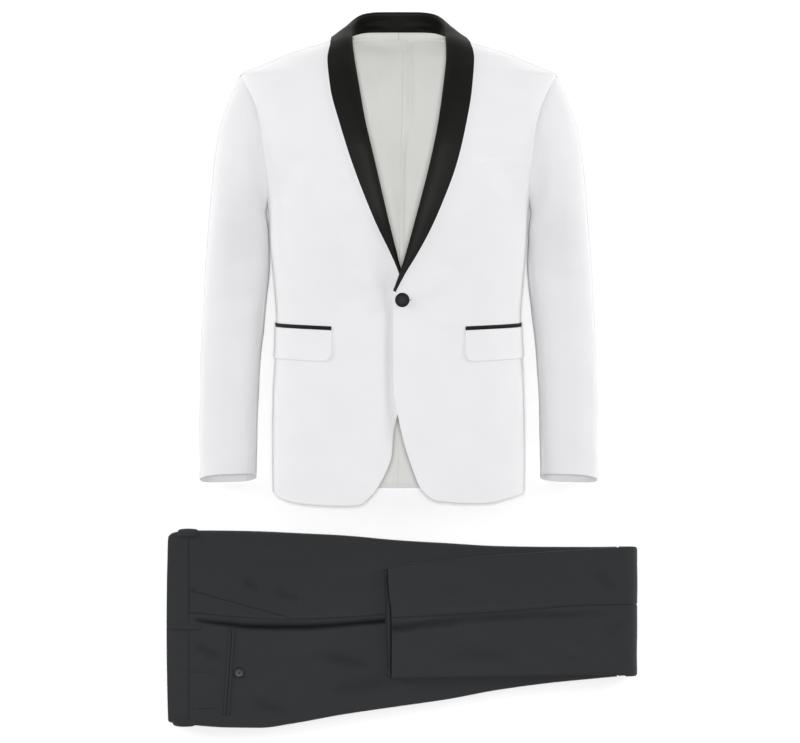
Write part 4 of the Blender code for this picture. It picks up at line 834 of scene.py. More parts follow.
sleeves = {
    # how the sleeve leaves the ring; columns: ring angle, x, y, z
    "start": [
        (0, 0.38, -0.92, 0.0), (60, 0.78, -0.52, 0.34), (90, 0.92, -0.25, 0.3), (135, 0.78, -0.62, 0.1),
        (180, 0.3, -0.95, 0.0), (225, 0.78, -0.62, -0.1), (270, 0.92, -0.25, -0.3), (300, 0.78, -0.52, -0.34),
        (360, 0.38, -0.92, 0.0),
    ],
    # sections below the cap; columns: y, inner x, outer x, low z, high z
    "sections": [
        (-0.162, 0.2205, 0.3088, -0.001, 0.092), (-0.08, 0.219, 0.3085, -0.001, 0.094),
        (0.015, 0.214, 0.3067, -0.001, 0.101), (0.0775, 0.2075, 0.3037, -0.0005, 0.108),
        (0.164, 0.1993, 0.2985, 0.011, 0.128), (0.215, 0.2003, 0.2935, 0.026, 0.15),
    ],
    "round": (2.6, 3.4),  # of the sections' outer and inner halves
    "cuffSlant": (0.0138, 0.2),  # how far the cuff slants, and its part towards the sides
    "slantFrom": (-0.05, 0.11),  # y below which it grows, and over what height
    "cuffRoom": 0.001,  # from the last section up to the last row
    "forearmStep": 10, "capRows": 32, "armRows": 84,
    "capReach": 0.35,  # the cap's two handles, as a share of its span
    "capBelow": 0.03,  # height over which the direction below the cap is taken
    "tuck": 0.003,  # how far the first row is tucked under the body's cloth
    "tuckGrown": 1.04,  # the ring's growth at which the tuck's direction is taken
    "tuckDrop": 0.001,
    "rope": (0.006, 0.0045, 0.0009),  # the head's soft ridge: distance from the seam, width, height
    "foldsFrom": (0.012, 0.05),  # how far down the folds start, and over what length they grow
    "flatTo": 0.012,  # z below which they fade out, towards the surface
    "uneven": 0.0005, "reach": 0.1, "seed": 31,
    "lined": (-0.15, 9.0),
    "Top": {"flat": (0.36, 0.64), "area": 0.147}, "Under": {"flat": (0.12, 0.47), "area": 0.0375},
    # soft folds of the top sleeve, from its back seam to the forearm seam and from the shoulder down
    # columns: share across, share along, the same at the other end, bow, width, depth
    "topLeft": [
        (0.2, 0.2, 0.34, 0.92, 0.04, 0.017, -0.0005), (0.62, 0.26, 0.55, 0.88, 0.05, 0.015, 0.0004),
        (0.96, 0.36, 0.55, 0.44, 0.03, 0.009, -0.0007), (0.98, 0.42, 0.62, 0.5, 0.02, 0.008, 0.0005),
        (0.97, 0.56, 0.5, 0.6, -0.03, 0.01, -0.0006), (0.05, 0.54, 0.4, 0.6, 0.04, 0.01, -0.0006),
        (0.92, 0.64, 0.6, 0.68, 0.02, 0.009, 0.0004), (0.7, 0.12, 0.85, 0.3, 0.03, 0.011, -0.0005),
        (0.36, 0.08, 0.28, 0.24, -0.02, 0.012, 0.0003),
    ],
    "topRight": [
        (0.24, 0.18, 0.32, 0.86, -0.04, 0.018, -0.0005), (0.6, 0.3, 0.56, 0.94, 0.04, 0.015, 0.0004),
        (0.96, 0.34, 0.58, 0.4, 0.02, 0.009, -0.0006), (0.98, 0.44, 0.52, 0.51, 0.03, 0.01, -0.0007),
        (0.94, 0.5, 0.62, 0.56, 0.02, 0.008, 0.0004), (0.04, 0.58, 0.36, 0.62, 0.03, 0.01, -0.0005),
        (0.9, 0.7, 0.55, 0.73, 0.02, 0.01, 0.0003), (0.66, 0.1, 0.82, 0.26, 0.03, 0.01, -0.0004),
        (0.38, 0.1, 0.26, 0.27, 0.02, 0.012, 0.0003),
    ],
    "underLeft": [
        (0.1, 0.4, 0.85, 0.46, 0.04, 0.01, -0.0006), (0.2, 0.52, 0.9, 0.57, -0.03, 0.009, 0.0004),
        (0.45, 0.2, 0.52, 0.8, 0.05, 0.016, -0.0004),
    ],
    "underRight": [
        (0.12, 0.44, 0.88, 0.49, 0.03, 0.01, -0.0006), (0.15, 0.55, 0.8, 0.61, -0.03, 0.009, 0.0004),
        (0.5, 0.16, 0.46, 0.76, 0.05, 0.016, -0.0004),
    ],
}


def sleeveSection(y, angle):
    # a superellipse: powers of the cosine across and of the sine in height. The lower end is cut at a slant
    inner, outer, low, high = np.moveaxis(smooth(sleeves["sections"], y), -1, 0)
    c, s = np.cos(np.radians(angle)), np.sin(np.radians(angle))
    e = 2 / np.where(c > 0, *sleeves["round"])
    x = (inner + outer) / 2 + (outer - inner) / 2 * power(c, e)
    z = (high + low) / 2 + (high - low) / 2 * power(s, e)
    (deep, sideways), (start, reach) = sleeves["cuffSlant"], sleeves["slantFrom"]
    slant = deep * ease((start - y) / reach)
    return np.stack([x, y - slant * (high - z) / (high - low) - sideways * slant * c, np.maximum(z, 0)], -1)


def sleeveGrid():
    # a cubic Bezier sheet from the armhole's ring to the first section, and the sections below it
    angle = ringSteps()
    top, cuff = sleeves["sections"][-1][0], sleeves["sections"][0][0] + sleeves["cuffRoom"]
    start, end = body(*ring(angle)), sleeveSection(top + 0 * angle, angle)
    down = unit(sleeveSection(top - sleeves["capBelow"] + 0 * angle, angle) - end)
    reach = sleeves["capReach"] * np.linalg.norm(end - start, axis=-1, keepdims=True)
    f = np.linspace(0, 1, sleeves["capRows"])[:, None, None]
    cap = ((1 - f)**3 * start + 3 * (1 - f)**2 * f * (start + reach * unit(smooth(sleeves["start"], angle)))
           + 3 * (1 - f) * f**2 * (end - reach * down) + f**3 * end)
    rows = [sleeveSection(y + 0 * angle, angle) for y in np.linspace(top, cuff, sleeves["armRows"])[1:]]
    return np.concatenate([cap, rows])


def makeSleeves():
    # each sleeve is cut from one closed grid, into a top sleeve and an under sleeve
    grid, k = sleeveGrid(), armhole["fine"]
    ropeAt, ropeWide, ropeHigh = sleeves["rope"]
    across = np.empty_like(grid)
    across[:, 1:-1] = grid[:, 2:] - grid[:, :-2]
    across[:, 0] = across[:, -1] = grid[:, 1] - grid[:, -2]
    normal = unit(np.cross(across, np.gradient(grid, axis=0)))
    down = runs(grid)[1]
    grid = grid + (ropeHigh * bump(down - ropeAt, ropeWide) * ease(down / ropeAt))[..., None] * normal
    hind, fore = (armhole["frontSteps"] + armhole["sideSteps"]) * k, sleeves["forearmStep"] * k
    last = grid.shape[1] - 1
    columns = {"Top": np.r_[hind:last, 0:fore + 1], "Under": np.r_[fore:hind + 1]}
    tucked = body(*ring(ringSteps())) - sleeves["tuck"] * outward(*ring(ringSteps(), sleeves["tuckGrown"]))
    start, reach = sleeves["foldsFrom"]
    free = ease((down - start) / reach) * ease(grid[..., 2] / sleeves["flatTo"])
    for part, cols in columns.items():
        for hand, side, _ in hands:
            surface = grid[:, cols]
            height = creased(surface, onGrid(surface), sleeves[part.lower() + hand])
            height += drift(surface, sleeves["uneven"], sleeves["reach"], sleeves["seed"] + side + len(part))
            surface = surface + (height * free[:, cols])[..., None] * normal[:, cols]
            surface = np.concatenate([tucked[None, cols] - (0, sleeves["tuckDrop"], 0), surface])
            piece = shell("sleeve" + part + hand, placed(surface, side),
                          [looks["whiteWool"], looks["paleLining"]], cloth["jacket"],
                          placed(grid.mean((0, 1)), side), innerLook=lined(*sleeves["lined"]))
            declare(f"sleeve_{part.lower()}_{hand.lower()}")


def collarLines(lapel, under):
    # stations from the centre back to the break: roll, leaf's edge, stand's lower edge, bow, and 1 where the
    # leaf follows the front's form. The stand leans from the roll towards the leaf's edge, under the front
    around, thick, r = np.array(collar["neck"]), cloth["jacket"], collar["foldRadius"]
    edgeAt, seamAt = (around[:, 4], np.radians(around[:, 3])), (around[:, 6], np.radians(around[:, 5]))
    neckEdge = body(*edgeAt) + (r - thick / 2 + collar["neckEase"]) * outward(*edgeAt)
    neckSeam = body(*seamAt) - (r + thick + collar["standLean"]) * outward(*seamAt)
    rollX, rollY, edgeX, edgeY, stand, bow = np.array(lapel).T
    level, step = 0 * rollX, stand / np.hypot(edgeX - rollX, edgeY - rollY)
    deep = r + thick / 2 + collar["standLean"] * (stand / stand[0]) ** 2
    roll = np.concatenate([around[:, :3], onFront(rollX, rollY, level - thick / 2, under)])
    edge = np.concatenate([neckEdge, onFront(edgeX, edgeY, level + r - thick / 2, under)])
    seam = np.concatenate([neckSeam, onFront(rollX + (edgeX - rollX) * step, rollY + (edgeY - rollY) * step,
                                             -deep, under)])
    follow = (np.arange(len(roll)) >= len(around)) * 1.0
    table = np.column_stack([np.arange(len(roll)), roll, edge, seam, np.r_[around[:, 7], bow], follow])
    return np.split(smooth(table, np.linspace(0, len(roll) - 1, collar["stations"])), [3, 6, 9, 10], axis=1)


def collarSurface(side, lapel, under):
    # a section is carried round the neck and down the front: the stand up to the roll, a half round fold,
    # and the leaf, which bows a little off the cloth under it
    roll, edge, seam, bow, follow = collarLines(lapel, under)
    thick, way = cloth["jacket"], np.linspace(0, 1, collar["stations"])[:, None]
    r = one([(collar["tipFrom"], collar["foldRadius"]), (1, collar["tipRadius"])], way)
    onForm = onFront(roll[:, 0], roll[:, 1], 0 * roll[:, 0] - thick / 2, under)
    roll = roll + (onForm - roll) * follow
    along = unit(np.gradient(roll, axis=0))
    across = roll - edge
    across = unit(across - np.einsum("ij,ij->i", across, along)[:, None] * along)
    out = unit(np.cross(across, along))
    width = np.linalg.norm(edge - roll, axis=-1)[:, None]

    def leaf(share, lift):
        # share of the way from roll to edge, lift from the cloth's middle surface
        flat = roll + (edge - out * r - roll) * share + out * lift
        at = roll + (edge - roll) * share
        shaped = onFront(at[:, 0], at[:, 1], lift[:, 0] - thick / 2, under)
        return flat + (shaped - flat) * ease(2 * follow - 1)

    start, standSteps = roll - r * out, collar["standSteps"]
    sections = [start + (seam - start) * share for share in np.linspace(1, 0, standSteps + 1)]
    for turn in np.radians(np.linspace(-90, 90, collar["foldSteps"] + 1)[1:-1]):
        sections.append(roll + r * (out * np.sin(turn) + across * np.cos(turn)))
    for share in np.linspace(0, 1, collar["leafSteps"] + 1):
        rise = np.sin(np.pi * share ** collar["bowPower"]) * np.minimum(bow, collar["bowMost"] * width)
        sections.append(leaf(share, r + rise))
    middle = np.array(sections).transpose(1, 0, 2)
    middle[0, :, 0] = 0  # the halves meet in the middle of the back
    normal = unit(np.cross(np.gradient(middle, axis=1), along[:, None] + 0 * middle))
    up = collar["standShare"]
    ripple = creased(middle, onGrid(middle), [(b * up, a, d * up, c, *size)
                                              for a, b, c, d, *size in collar["ripples"]])
    onStand = np.arange(middle.shape[1]) < standSteps
    middle = middle + (ripple * onStand)[..., None] * normal
    middle[0, :, 0] = 0
    return placed(middle, side)


def makeCollars():
    # outside satin, a darker and duller copy of it on the stand, whose darker colour is painted shade inside
    # the neck, and jacket cloth inside
    def satins(at):
        return np.tile(2 * (np.arange(at.shape[1]) < collar["standTo"]), (len(at), 1))

    def undersides(at):
        return np.ones(at.shape[:2], bool)

    for hand, side, key in hands:
        surface = collarSurface(side, collar[key], key == "under")
        beside = surface[:1] + (surface[1:2] - surface[:1]) * collar["firstStep"]
        surface = np.concatenate([surface[:1], beside, surface[1:]])
        piece = shell("shawlCollar" + hand, surface,
                      [looks["blackSatin"], looks["whiteWool"], looks["standSatinInShade"]], cloth["jacket"],
                      side=-side, skin=0.5, rim=collar["rims"], outerLook=satins, innerLook=undersides)
        declare("shawl_collar_" + hand.lower())


flap = {
    "start": 0.1015, "long": 0.152, "top": 0.06, "rise": 0.0075, "deep": 0.0475, "corner": 0.012,
    "fall": 0.0012,  # how much further its lower edge stands off
    "laid": 0.0007,  # height over the front
    "columns": (9, 23),  # in a corner, and from there to the middle
    "rows": 20, "flat": (0.152, 0.048), "area": 0.0071,
}

jet = {"high": 0.006, "thick": 0.0016, "rim": 0.0024, "rows": 9, "flat": (0.152, 0.012), "area": 0.0009}

chestWelt = {
    "start": 0.1144, "long": 0.098, "top": 0.3165, "rise": 0.006, "deep": 0.022, "thick": 0.0008,
    "lift": (0.0007, -0.0006),  # how far its upper edge stands off, and its other edges lie in
    "fade": (0.06, 0.9),  # shares of the length and the depth in which one becomes the other
    "rows": 24, "columns": 60, "rim": 0.0005, "flat": (0.098, 0.022), "area": 0.0021,
}


def alongFront(pocket, share):
    # heights and angles at shares of a line that runs out over a front from the pocket's start and climbs
    top = pocket["top"]
    fine = np.linspace(frontAngle(pocket["start"], np.array(top)), np.radians(50), 400)
    run = runs(body(top + 0 * fine, fine)[None])[0][0]
    return top + pocket["rise"] * share, np.interp(share * pocket["long"], run, fine)


def makeFlapsAndJets():
    # a flap hangs from its line, with corners of a quarter circle; its columns are closer together there. A
    # satin jet lies along the line above it
    corner, (inCorner, onward) = flap["corner"], flap["columns"]
    steps = np.concatenate([[0], corner * (1 - np.cos(np.linspace(0, np.pi / 2, inCorner + 1)[1:])),
                            np.linspace(corner, flap["long"] / 2, onward + 1)[1:]]) / flap["long"]
    steps = np.concatenate([steps, 1 - steps[-2::-1]])
    gap = np.minimum(steps, 1 - steps) * flap["long"]
    inset = corner - np.sqrt(corner**2 - np.maximum(corner - gap, 0) ** 2)
    y, angle = alongFront(flap, steps)
    down, up = (np.linspace(0, 1, part["rows"])[:, None] for part in (flap, jet))
    flapLift = flap["laid"] + cloth["trousers"] + flap["fall"] * down ** 1.5 + 0 * angle
    jetLift = flap["laid"] + jet["thick"] + 0 * up * angle
    for hand, side, key in hands:
        surface = frontCloth(y - down * (flap["deep"] - inset), angle + 0 * down, key, flapLift)
        piece = shell("flap" + hand, placed(surface, side), [looks["whiteWool"]], cloth["trousers"],
                      form["middle"])
        declare("flap_" + hand.lower())
        surface = frontCloth(y + cloth["gap"] + up * jet["high"], angle + 0 * up, key, jetLift)
        piece = shell("jet" + hand, placed(surface, side), [looks["blackSatin"]], jet["thick"],
                      form["middle"], rim=jet["rim"])
        declare("jet_" + hand.lower())


def makeChestWelt():
    # a band whose upper edge stands off the front and whose other edges run into it
    (proud, sunk), (endFade, deepFade) = chestWelt["lift"], chestWelt["fade"]
    ends, share = np.linspace(0, 1, chestWelt["columns"]), np.linspace(0, 1, chestWelt["rows"])[:, None]
    y, angle = alongFront(chestWelt, ends)
    lift = sunk + (proud - sunk) * ease(np.minimum(ends, 1 - ends) / endFade) * ease((1 - share) / deepFade)
    surface = frontCloth(y - share * chestWelt["deep"], angle + 0 * share, "over", lift)
    piece = shell("chestWelt", placed(surface, 1), [looks["whiteWool"]], chestWelt["thick"], form["middle"],
                  rim=chestWelt["rim"])
    declare("chest_welt")


button = {
    "at": (0.0058, 0.1061), "radius": 0.011,
    # covered in cloth: a shank, a rolled lower edge and a soft dome; columns: share of the radius, height
    "profile": [
        (0, 0.0006), (0.28, 0.0006), (0.28, 0.0018), (0.8, 0.002), (0.97, 0.0028), (1.0, 0.0037),
        (0.95, 0.0047), (0.85, 0.0053), (0.6, 0.006), (0.3, 0.0064), (0.0, 0.0065),
    ],
}

buttonhole = {
    "from": 0.004, "to": 0.0138,  # its ends, from the button's middle
    "wide": 0.0016,
    "edgeSteps": 16, "endSteps": 5, "edgeLift": 0.0002, "edgeStitch": (0.0008, 0.0016, 0.0004),
    # dark stitches in the slit between them, as painted shade: their start as a share of the button's radius,
    # their distance from the end
    "slitFrom": 0.8, "slitRoom": 0.0006, "slitSteps": 4, "slitLift": 0.0006,
    "slitStitch": (0.0022, 0.0009, 0.0003),  # a stitch's length, width and height, as above
}


def sewnOnFront(name, x, y, look, lift, size):
    # stitches along a path given by x and y on the upper front, a little off its cloth
    angle = frontAngle(x, y)
    path = placed(frontCloth(y[None], angle[None], "over", lift + 0 * angle[None])[0], 1)
    stitches(name, path, outward(y, angle), looks[look], *size)


def makeButton():
    # a covered button, and the end of the stitched buttonhole that shows past it: two straight edges and half
    # a circle, with dark stitches along its slit that paint the slit's shade
    x, y = button["at"]
    rows = np.array([[y]])
    seat = placed(frontCloth(rows, frontAngle(x, rows), "over", 0 * rows), 1)[0, 0]
    profile = [(share * button["radius"], height) for share, height in button["profile"]]
    piece = lathe("frontButton", profile, seat, [looks["blackButton"]])
    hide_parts("button_front")
    end, half = buttonhole["to"], buttonhole["wide"] / 2
    out = np.linspace(buttonhole["from"], end, buttonhole["edgeSteps"])
    turn = np.linspace(np.pi / 2, -np.pi / 2, buttonhole["endSteps"] + 2)[1:-1]
    dx = np.concatenate([out, end + half * np.cos(turn), out[::-1]])
    dy = np.concatenate([half + 0 * out, half * np.sin(turn), 0 * out - half])
    sewnOnFront("buttonhole", x + dx, y + dy, "whiteThread", buttonhole["edgeLift"], buttonhole["edgeStitch"])
    # painted shade of the slit: a row of dark stitches
    dx = np.linspace(button["radius"] * buttonhole["slitFrom"], end - buttonhole["slitRoom"],
                     buttonhole["slitSteps"])
    sewnOnFront("buttonholeSlitShade", x + dx, y + 0 * dx, "darkThread", buttonhole["slitLift"],
                buttonhole["slitStitch"])


makeFronts()
makeSidesAndBacks()
makeLining()
makeSleeves()
makeCollars()
makeFlapsAndJets()
makeChestWelt()
makeButton()
print("jacket made")

legs = {
    # the folded trousers from above; columns: x, y of the front crease edge, y of the back edge, thickness of
    # the stack of two legs
    "thigh": [
        (-0.3665, -0.26, -0.5465, 0.02), (-0.36, -0.2543, -0.5488, 0.0212), (-0.35, -0.252, -0.5505, 0.0222),
        (-0.317, -0.2499, -0.5535, 0.0235), (-0.272, -0.2502, -0.5563, 0.0245),
        (-0.2206, -0.2513, -0.5568, 0.025), (-0.1693, -0.2537, -0.55, 0.0245),
        (-0.0916, -0.2576, -0.5361, 0.023), (-0.003, -0.2654, -0.5232, 0.0215),
        (0.0696, -0.2697, -0.5128, 0.02), (0.1473, -0.2742, -0.4985, 0.019), (0.225, -0.2755, -0.4879, 0.018),
        (0.3027, -0.2757, -0.4802, 0.0175), (0.3665, -0.2745, -0.4745, 0.017),
    ],
    # the legs folded back on top
    "shin": [
        (-0.03, -0.3085, -0.4794, 0.012), (-0.0185, -0.3077, -0.4791, 0.0125),
        (0.005, -0.3025, -0.479, 0.013), (0.0436, -0.2991, -0.4785, 0.0135),
        (0.1104, -0.2914, -0.4768, 0.0145), (0.2, -0.2845, -0.4746, 0.0155), (0.28, -0.279, -0.473, 0.0165),
        (0.3665, -0.2745, -0.4745, 0.017),
    ],
    "kneeX": 0.3487,  # where the legs turn over
    "gap": 0.0006,  # between the legs below and those folded back on top
    "wrap": 2.75,  # how far a leg's cloth turns round its edge, in radians
    "wrapSteps": 18, "frontCrowd": 1.5, "backCrowd": 1.9,  # how much closer columns lie near the side seam
    "hemX": -0.0195,
    # the hem runs in a slow wave; columns: y, x from hemX
    "hemLine": [(-0.48, 0.0033), (-0.404, 0.0037), (-0.37, 0.0028), (-0.3511, 0.0), (-0.308, -0.003)],
    "hemWave": (0.03, 0.04),  # x at which the wave has faded, and over what length
    "hemAbove": 0.02,  # z above which the cloth is the folded-back leg's
    "waistX": -0.3664, "bandX": -0.3309,
    "waistCurve": (0.0022, -0.4, 0.14),  # the waist's curve: depth, y of its middle, half width
    "waistWave": (-0.335, 0.03),  # x from which it grows, and over what length
    # the side seams; columns: x, y
    "thighSeam": [
        (-0.367, -0.4), (-0.331, -0.379), (-0.25, -0.385), (-0.174, -0.3875), (-0.09, -0.385), (-0.02, -0.38),
        (0.08, -0.373), (0.2, -0.37), (0.3665, -0.368),
    ],
    "shinSeam": [(-0.03, -0.386), (0.036, -0.383), (0.18, -0.374), (0.277, -0.366), (0.3665, -0.3645)],
    "slant": [(-0.331, -0.343), (-0.174, -0.3856)],  # opening of the slant pocket; columns: x, y
    # soft folds of the thigh; columns: from x, y, to x, y, bow, width, depth
    "thighFolds": [
        (-0.336, -0.3822, -0.14, -0.39, 0.0, 0.0036, 0.002),
        (-0.27, -0.39, -0.01, -0.382, 0.0, 0.0036, 0.002),
        (-0.249, -0.325, -0.222, -0.347, 0.004, 0.007, -0.0035),
        (-0.202, -0.345, -0.156, -0.3615, 0.004, 0.007, -0.0032),
        (-0.322, -0.4276, -0.272, -0.452, -0.005, 0.008, -0.0038),
        (-0.134, -0.444, -0.04, -0.467, 0.003, 0.01, -0.0042),
        (-0.238, -0.518, -0.172, -0.539, 0.003, 0.009, -0.0035),
        (-0.15, -0.33, -0.02, -0.315, 0.006, 0.016, 0.0032),
        (-0.29, -0.29, -0.12, -0.296, 0.004, 0.012, 0.0027),
        (-0.12, -0.502, -0.01, -0.486, 0.004, 0.012, -0.0032),
        (-0.326, -0.472, -0.31, -0.44, 0.002, 0.007, 0.0022),
        (-0.19, -0.455, -0.11, -0.425, 0.006, 0.011, 0.0024),
    ],
    # the same of the shin on top
    "shinFolds": [
        (-0.012, -0.38, 0.28, -0.364, 0.0, 0.005, 0.0022), (0.06, -0.44, 0.18, -0.452, 0.004, 0.013, -0.0019),
        (0.3, -0.31, 0.334, -0.35, -0.004, 0.01, -0.0021),
        (0.312, -0.42, 0.342, -0.39, 0.004, 0.009, -0.0019),
        (0.01, -0.335, 0.12, -0.326, -0.004, 0.014, 0.0024),
        (0.22, -0.428, 0.29, -0.448, 0.004, 0.012, 0.0024),
    ],
    # the valley beside each side seam; columns: x, y, half width, depth, strength of the shade painted in it
    "thighValley": [
        (-0.328, -0.3878, 0.004, 0.0, 0.0), (-0.305, -0.3915, 0.0062, 0.0036, 0.75),
        (-0.272, -0.3954, 0.0074, 0.004, 0.9), (-0.235, -0.3992, 0.008, 0.004, 0.98),
        (-0.19, -0.4, 0.0086, 0.0042, 1.0), (-0.16, -0.4, 0.0086, 0.004, 1.0),
        (-0.123, -0.3984, 0.0084, 0.0034, 0.96), (-0.08, -0.395, 0.0076, 0.003, 0.95),
        (-0.029, -0.3908, 0.0076, 0.0027, 0.97), (0.01, -0.388, 0.007, 0.0, 0.0),
    ],
    "shinValley": [
        (-0.024, -0.4008, 0.012, 0.0016, 0.62), (0.003, -0.3998, 0.012, 0.0016, 0.56),
        (0.025, -0.3966, 0.011, 0.0019, 0.52), (0.073, -0.3917, 0.0105, 0.0022, 0.42),
        (0.11, -0.3876, 0.0095, 0.0021, 0.32), (0.17, -0.3847, 0.0105, 0.0021, 0.32),
        (0.205, -0.382, 0.009, 0.0021, 0.28), (0.247, -0.3818, 0.0095, 0.0018, 0.24),
        (0.3, -0.38, 0.0095, 0.0014, 0.12), (0.335, -0.38, 0.0095, 0.0, 0.0),
    ],
    # shade painted along seams and hems: its strength, and over what width
    "seamPaintedShade": (0.4, 0.0011), "hemPaintedShade": (0.85, 0.0011), "underHemPaintedShade": (0.95, 0.0018),
    "waistPaintedShade": (0.38, 0.0012),
    "troughPaintedShade": (0.2, 0.004),  # strength of the shade painted in a soft trough, and the depth at which it is full
    "edgePaintedShade": (0.75, 0.5, 0.35),  # painted shade on the shin's rounded edges; start and reach in their radius
    # fine seam lines; columns: x, y of both ends
    "darts": [(-0.3295, -0.47, -0.287, -0.4695), (-0.3295, -0.5272, -0.287, -0.5262)],
    "dartPoints": 22, "dartStitch": (0.0024, 0.0004),  # length and width of a stitch
    "slantEdge": 0.0008,  # from the slant pocket's opening to its stitches
    "slantStep": 0.0034, "slantStitch": (0.0032, 0.001),  # from stitch to stitch, and their size
    "tack": (-0.3245, -0.341, 0.006, 0.0052),  # bar tack at the pocket's upper end: x, y, length, width
    "tackBars": 7, "tackBar": 0.0006, "tackEnd": (0.0016, 0.0007),
    "sunk": (0.0016, 0.0009),  # width and depth of the groove along a seam
    "seamRim": 0.0015, "hemRim": 0.0012, "waistRim": 0.0016,
    "hemRound": (0.003, 0.0045),  # depth and length of the hem's rounded edge
    "room": 0.85,  # depth of the hidden layers below the folds, in the edges' radius
    "foldEdge": 0.03,  # distance from the edges in which the folds fade out
    "uneven": 0.0004, "reach": 0.1,
    "thighSeed": 41, "shinSeed": 43,
    "band": 0.0004,  # how much thicker the waistband is
}


def stack(x, turn=None, shin=False):
    # the folded legs at each x: middle, outward direction, thickness, front and back edges. They lie on the
    # surface, or on the legs below where shin is true, the pair folded back on top. turn, in degrees from the
    # surface, goes round the knee on a half circle
    x = np.atleast_1d(np.asarray(x, float))
    front, back, thick = np.moveaxis(smooth(legs["shin" if shin else "thigh"], x), -1, 0)[..., None]
    below = smooth(legs["thigh"], x)[..., 2] + legs["gap"]
    if turn is None:
        base, up = (below, 1.0) if shin else (0 * x, -1.0)
        middle = np.column_stack([x, base + thick[:, 0] / 2])
        return middle, np.tile((0.0, up), (len(x), 1)), thick, front, back
    lean = np.radians(np.atleast_1d(turn))
    out = np.column_stack([np.cos(lean), np.sin(lean)])
    pivot = np.column_stack([x, below - legs["gap"] / 2])
    return pivot + out * (legs["gap"] / 2 + thick / 2), out, thick, front, back


def joined(*rows):
    # several stretches of the folded legs as one
    return tuple(np.concatenate(parts) for parts in zip(*rows))


def lying(rows, q, lift=0.0, outer=True):
    # points of the legs' surface: q is y on the flat and runs on along the quarter rounds, a quarter of the
    # stack's thickness in radius, at both edges; outer chooses the outer leg of the stack or the inner one
    middle, out, thick, front, back = rows
    r = thick / 4
    over = np.where(q > front - r, q - (front - r), np.where(q < back + r, q - (back + r), 0)) / r
    y = np.clip(q, back + r, front - r) + (r + lift) * np.sin(over)
    height = r + (r + lift) * np.cos(over)
    out = out * (1 if outer else -1)
    return np.stack([middle[:, :1] + out[:, :1] * height, y, middle[:, 1:] + out[:, 1:] * height], -1)


def wrapped(rows, end):
    # the q at which a leg's cloth ends beyond its front or back edge
    _, _, thick, front, back = rows
    r = thick / 4
    return (front - r + legs["wrap"] * r if end == "front" else back + r - legs["wrap"] * r)[:, 0]


def across(rows, low, high, cols, lip=None):
    # columns of q from one seam to the other, closer together near the side seam and round the front or back
    # edge; lip is the edge round which the piece runs on
    _, _, thick, front, back = rows
    r, turn = thick / 4, np.linspace(0, 1, legs["wrapSteps"] + 1)
    flat = np.linspace(0, 1, cols + 1)
    if lip == "front":
        flat = flat ** legs["frontCrowd"]
    if lip == "back":
        flat = 1 - (1 - flat) ** legs["backCrowd"]
    low, high = np.broadcast_to(low, len(r))[:, None], np.broadcast_to(high, len(r))[:, None]
    if lip == "front":
        return np.concatenate([low + (front - r - low) * flat[:-1], front - r + (high - front + r) * turn], 1)
    if lip == "back":
        return np.concatenate([low + (back + r - low) * turn[:-1], back + r + (high - back - r) * flat], 1)
    return low + (high - low) * flat


def valley(x, q, part):
    # the valley beside the seam: its profile, which is 1 along the middle, its depth and the strength of the
    # shade painted in it
    middle, half, depth, pressed = np.moveaxis(smooth(legs[part + "Valley"], x), -1, 0)
    return ease(1 - np.abs(q - middle) / half), depth, pressed


def legFolds(rows, q, part):
    # soft folds, the shallow groove along the side seam and the valley beside it; they fade out towards the
    # rounded edges. part is the thigh, or the shin on top of it
    _, _, _, front, back = rows
    x, edge = rows[0][:, :1], legs["foldEdge"]
    flat = onPlan(x + 0 * q, q)
    height = creased(flat, onPlan, legs[part + "Folds"])
    height += drift(flat, legs["uneven"], legs["reach"], legs[part + "Seed"])
    wide, deep = legs["sunk"]
    height -= deep * bump(q - one(legs[part + "Seam"], x), wide)
    near, depth, _ = valley(x, q, part)
    return (height - depth * near) * ease((front - q) / edge) * ease((q - back) / edge)


def waistShift(points):
    # the waist's end is cut at a slight curve: the square of the distance from its middle
    (deep, middle, half), (start, reach) = legs["waistCurve"], legs["waistWave"]
    lean = deep * ((points[..., 1] - middle) / half) ** 2
    return lean * ease((start - points[..., 0]) / reach)


def hemShift(points):
    # the hem's slow wave, which fades up the leg
    x, y, z = np.moveaxis(points, -1, 0)
    end, reach = legs["hemWave"]
    return one(legs["hemLine"], y) * ease((end - x) / reach) * (z > legs["hemAbove"])


def hemFall(x):
    # a turned-up hem ends in a quarter round: it falls by its depth times 1 less the root of 1 - t squared
    deep, long = legs["hemRound"]
    t = np.clip((legs["hemX"] + long - x) / long, 0, 1)
    return -deep * (1 - np.sqrt(1 - t * t))


def legPaintedShade(rows, q, fold, part):
    # how much shade is painted into the colour, from 0 to 1: in the valley, along the seam, a little in every
    # trough, and on the shin's rounded edges
    _, _, thick, front, back = rows
    x, r = rows[0][:, :1], thick / 4
    near, _, pressed = valley(x, q, part)
    paintedDark, wide = legs["seamPaintedShade"]
    paintedShade = pressed * near + paintedDark * bump(q - one(legs[part + "Seam"], x), wide)
    paintedDark, deepest = legs["troughPaintedShade"]
    paintedShade = paintedShade + paintedDark * (1 - near) * np.clip(-fold / deepest, 0, 1)
    if part == "shin":
        paintedDark, start, reach = legs["edgePaintedShade"]
        beyond = np.maximum(q - front + r, back + r - q) / r
        paintedShade = paintedShade + paintedDark * ease((beyond - start) / reach)
    return paintedShade


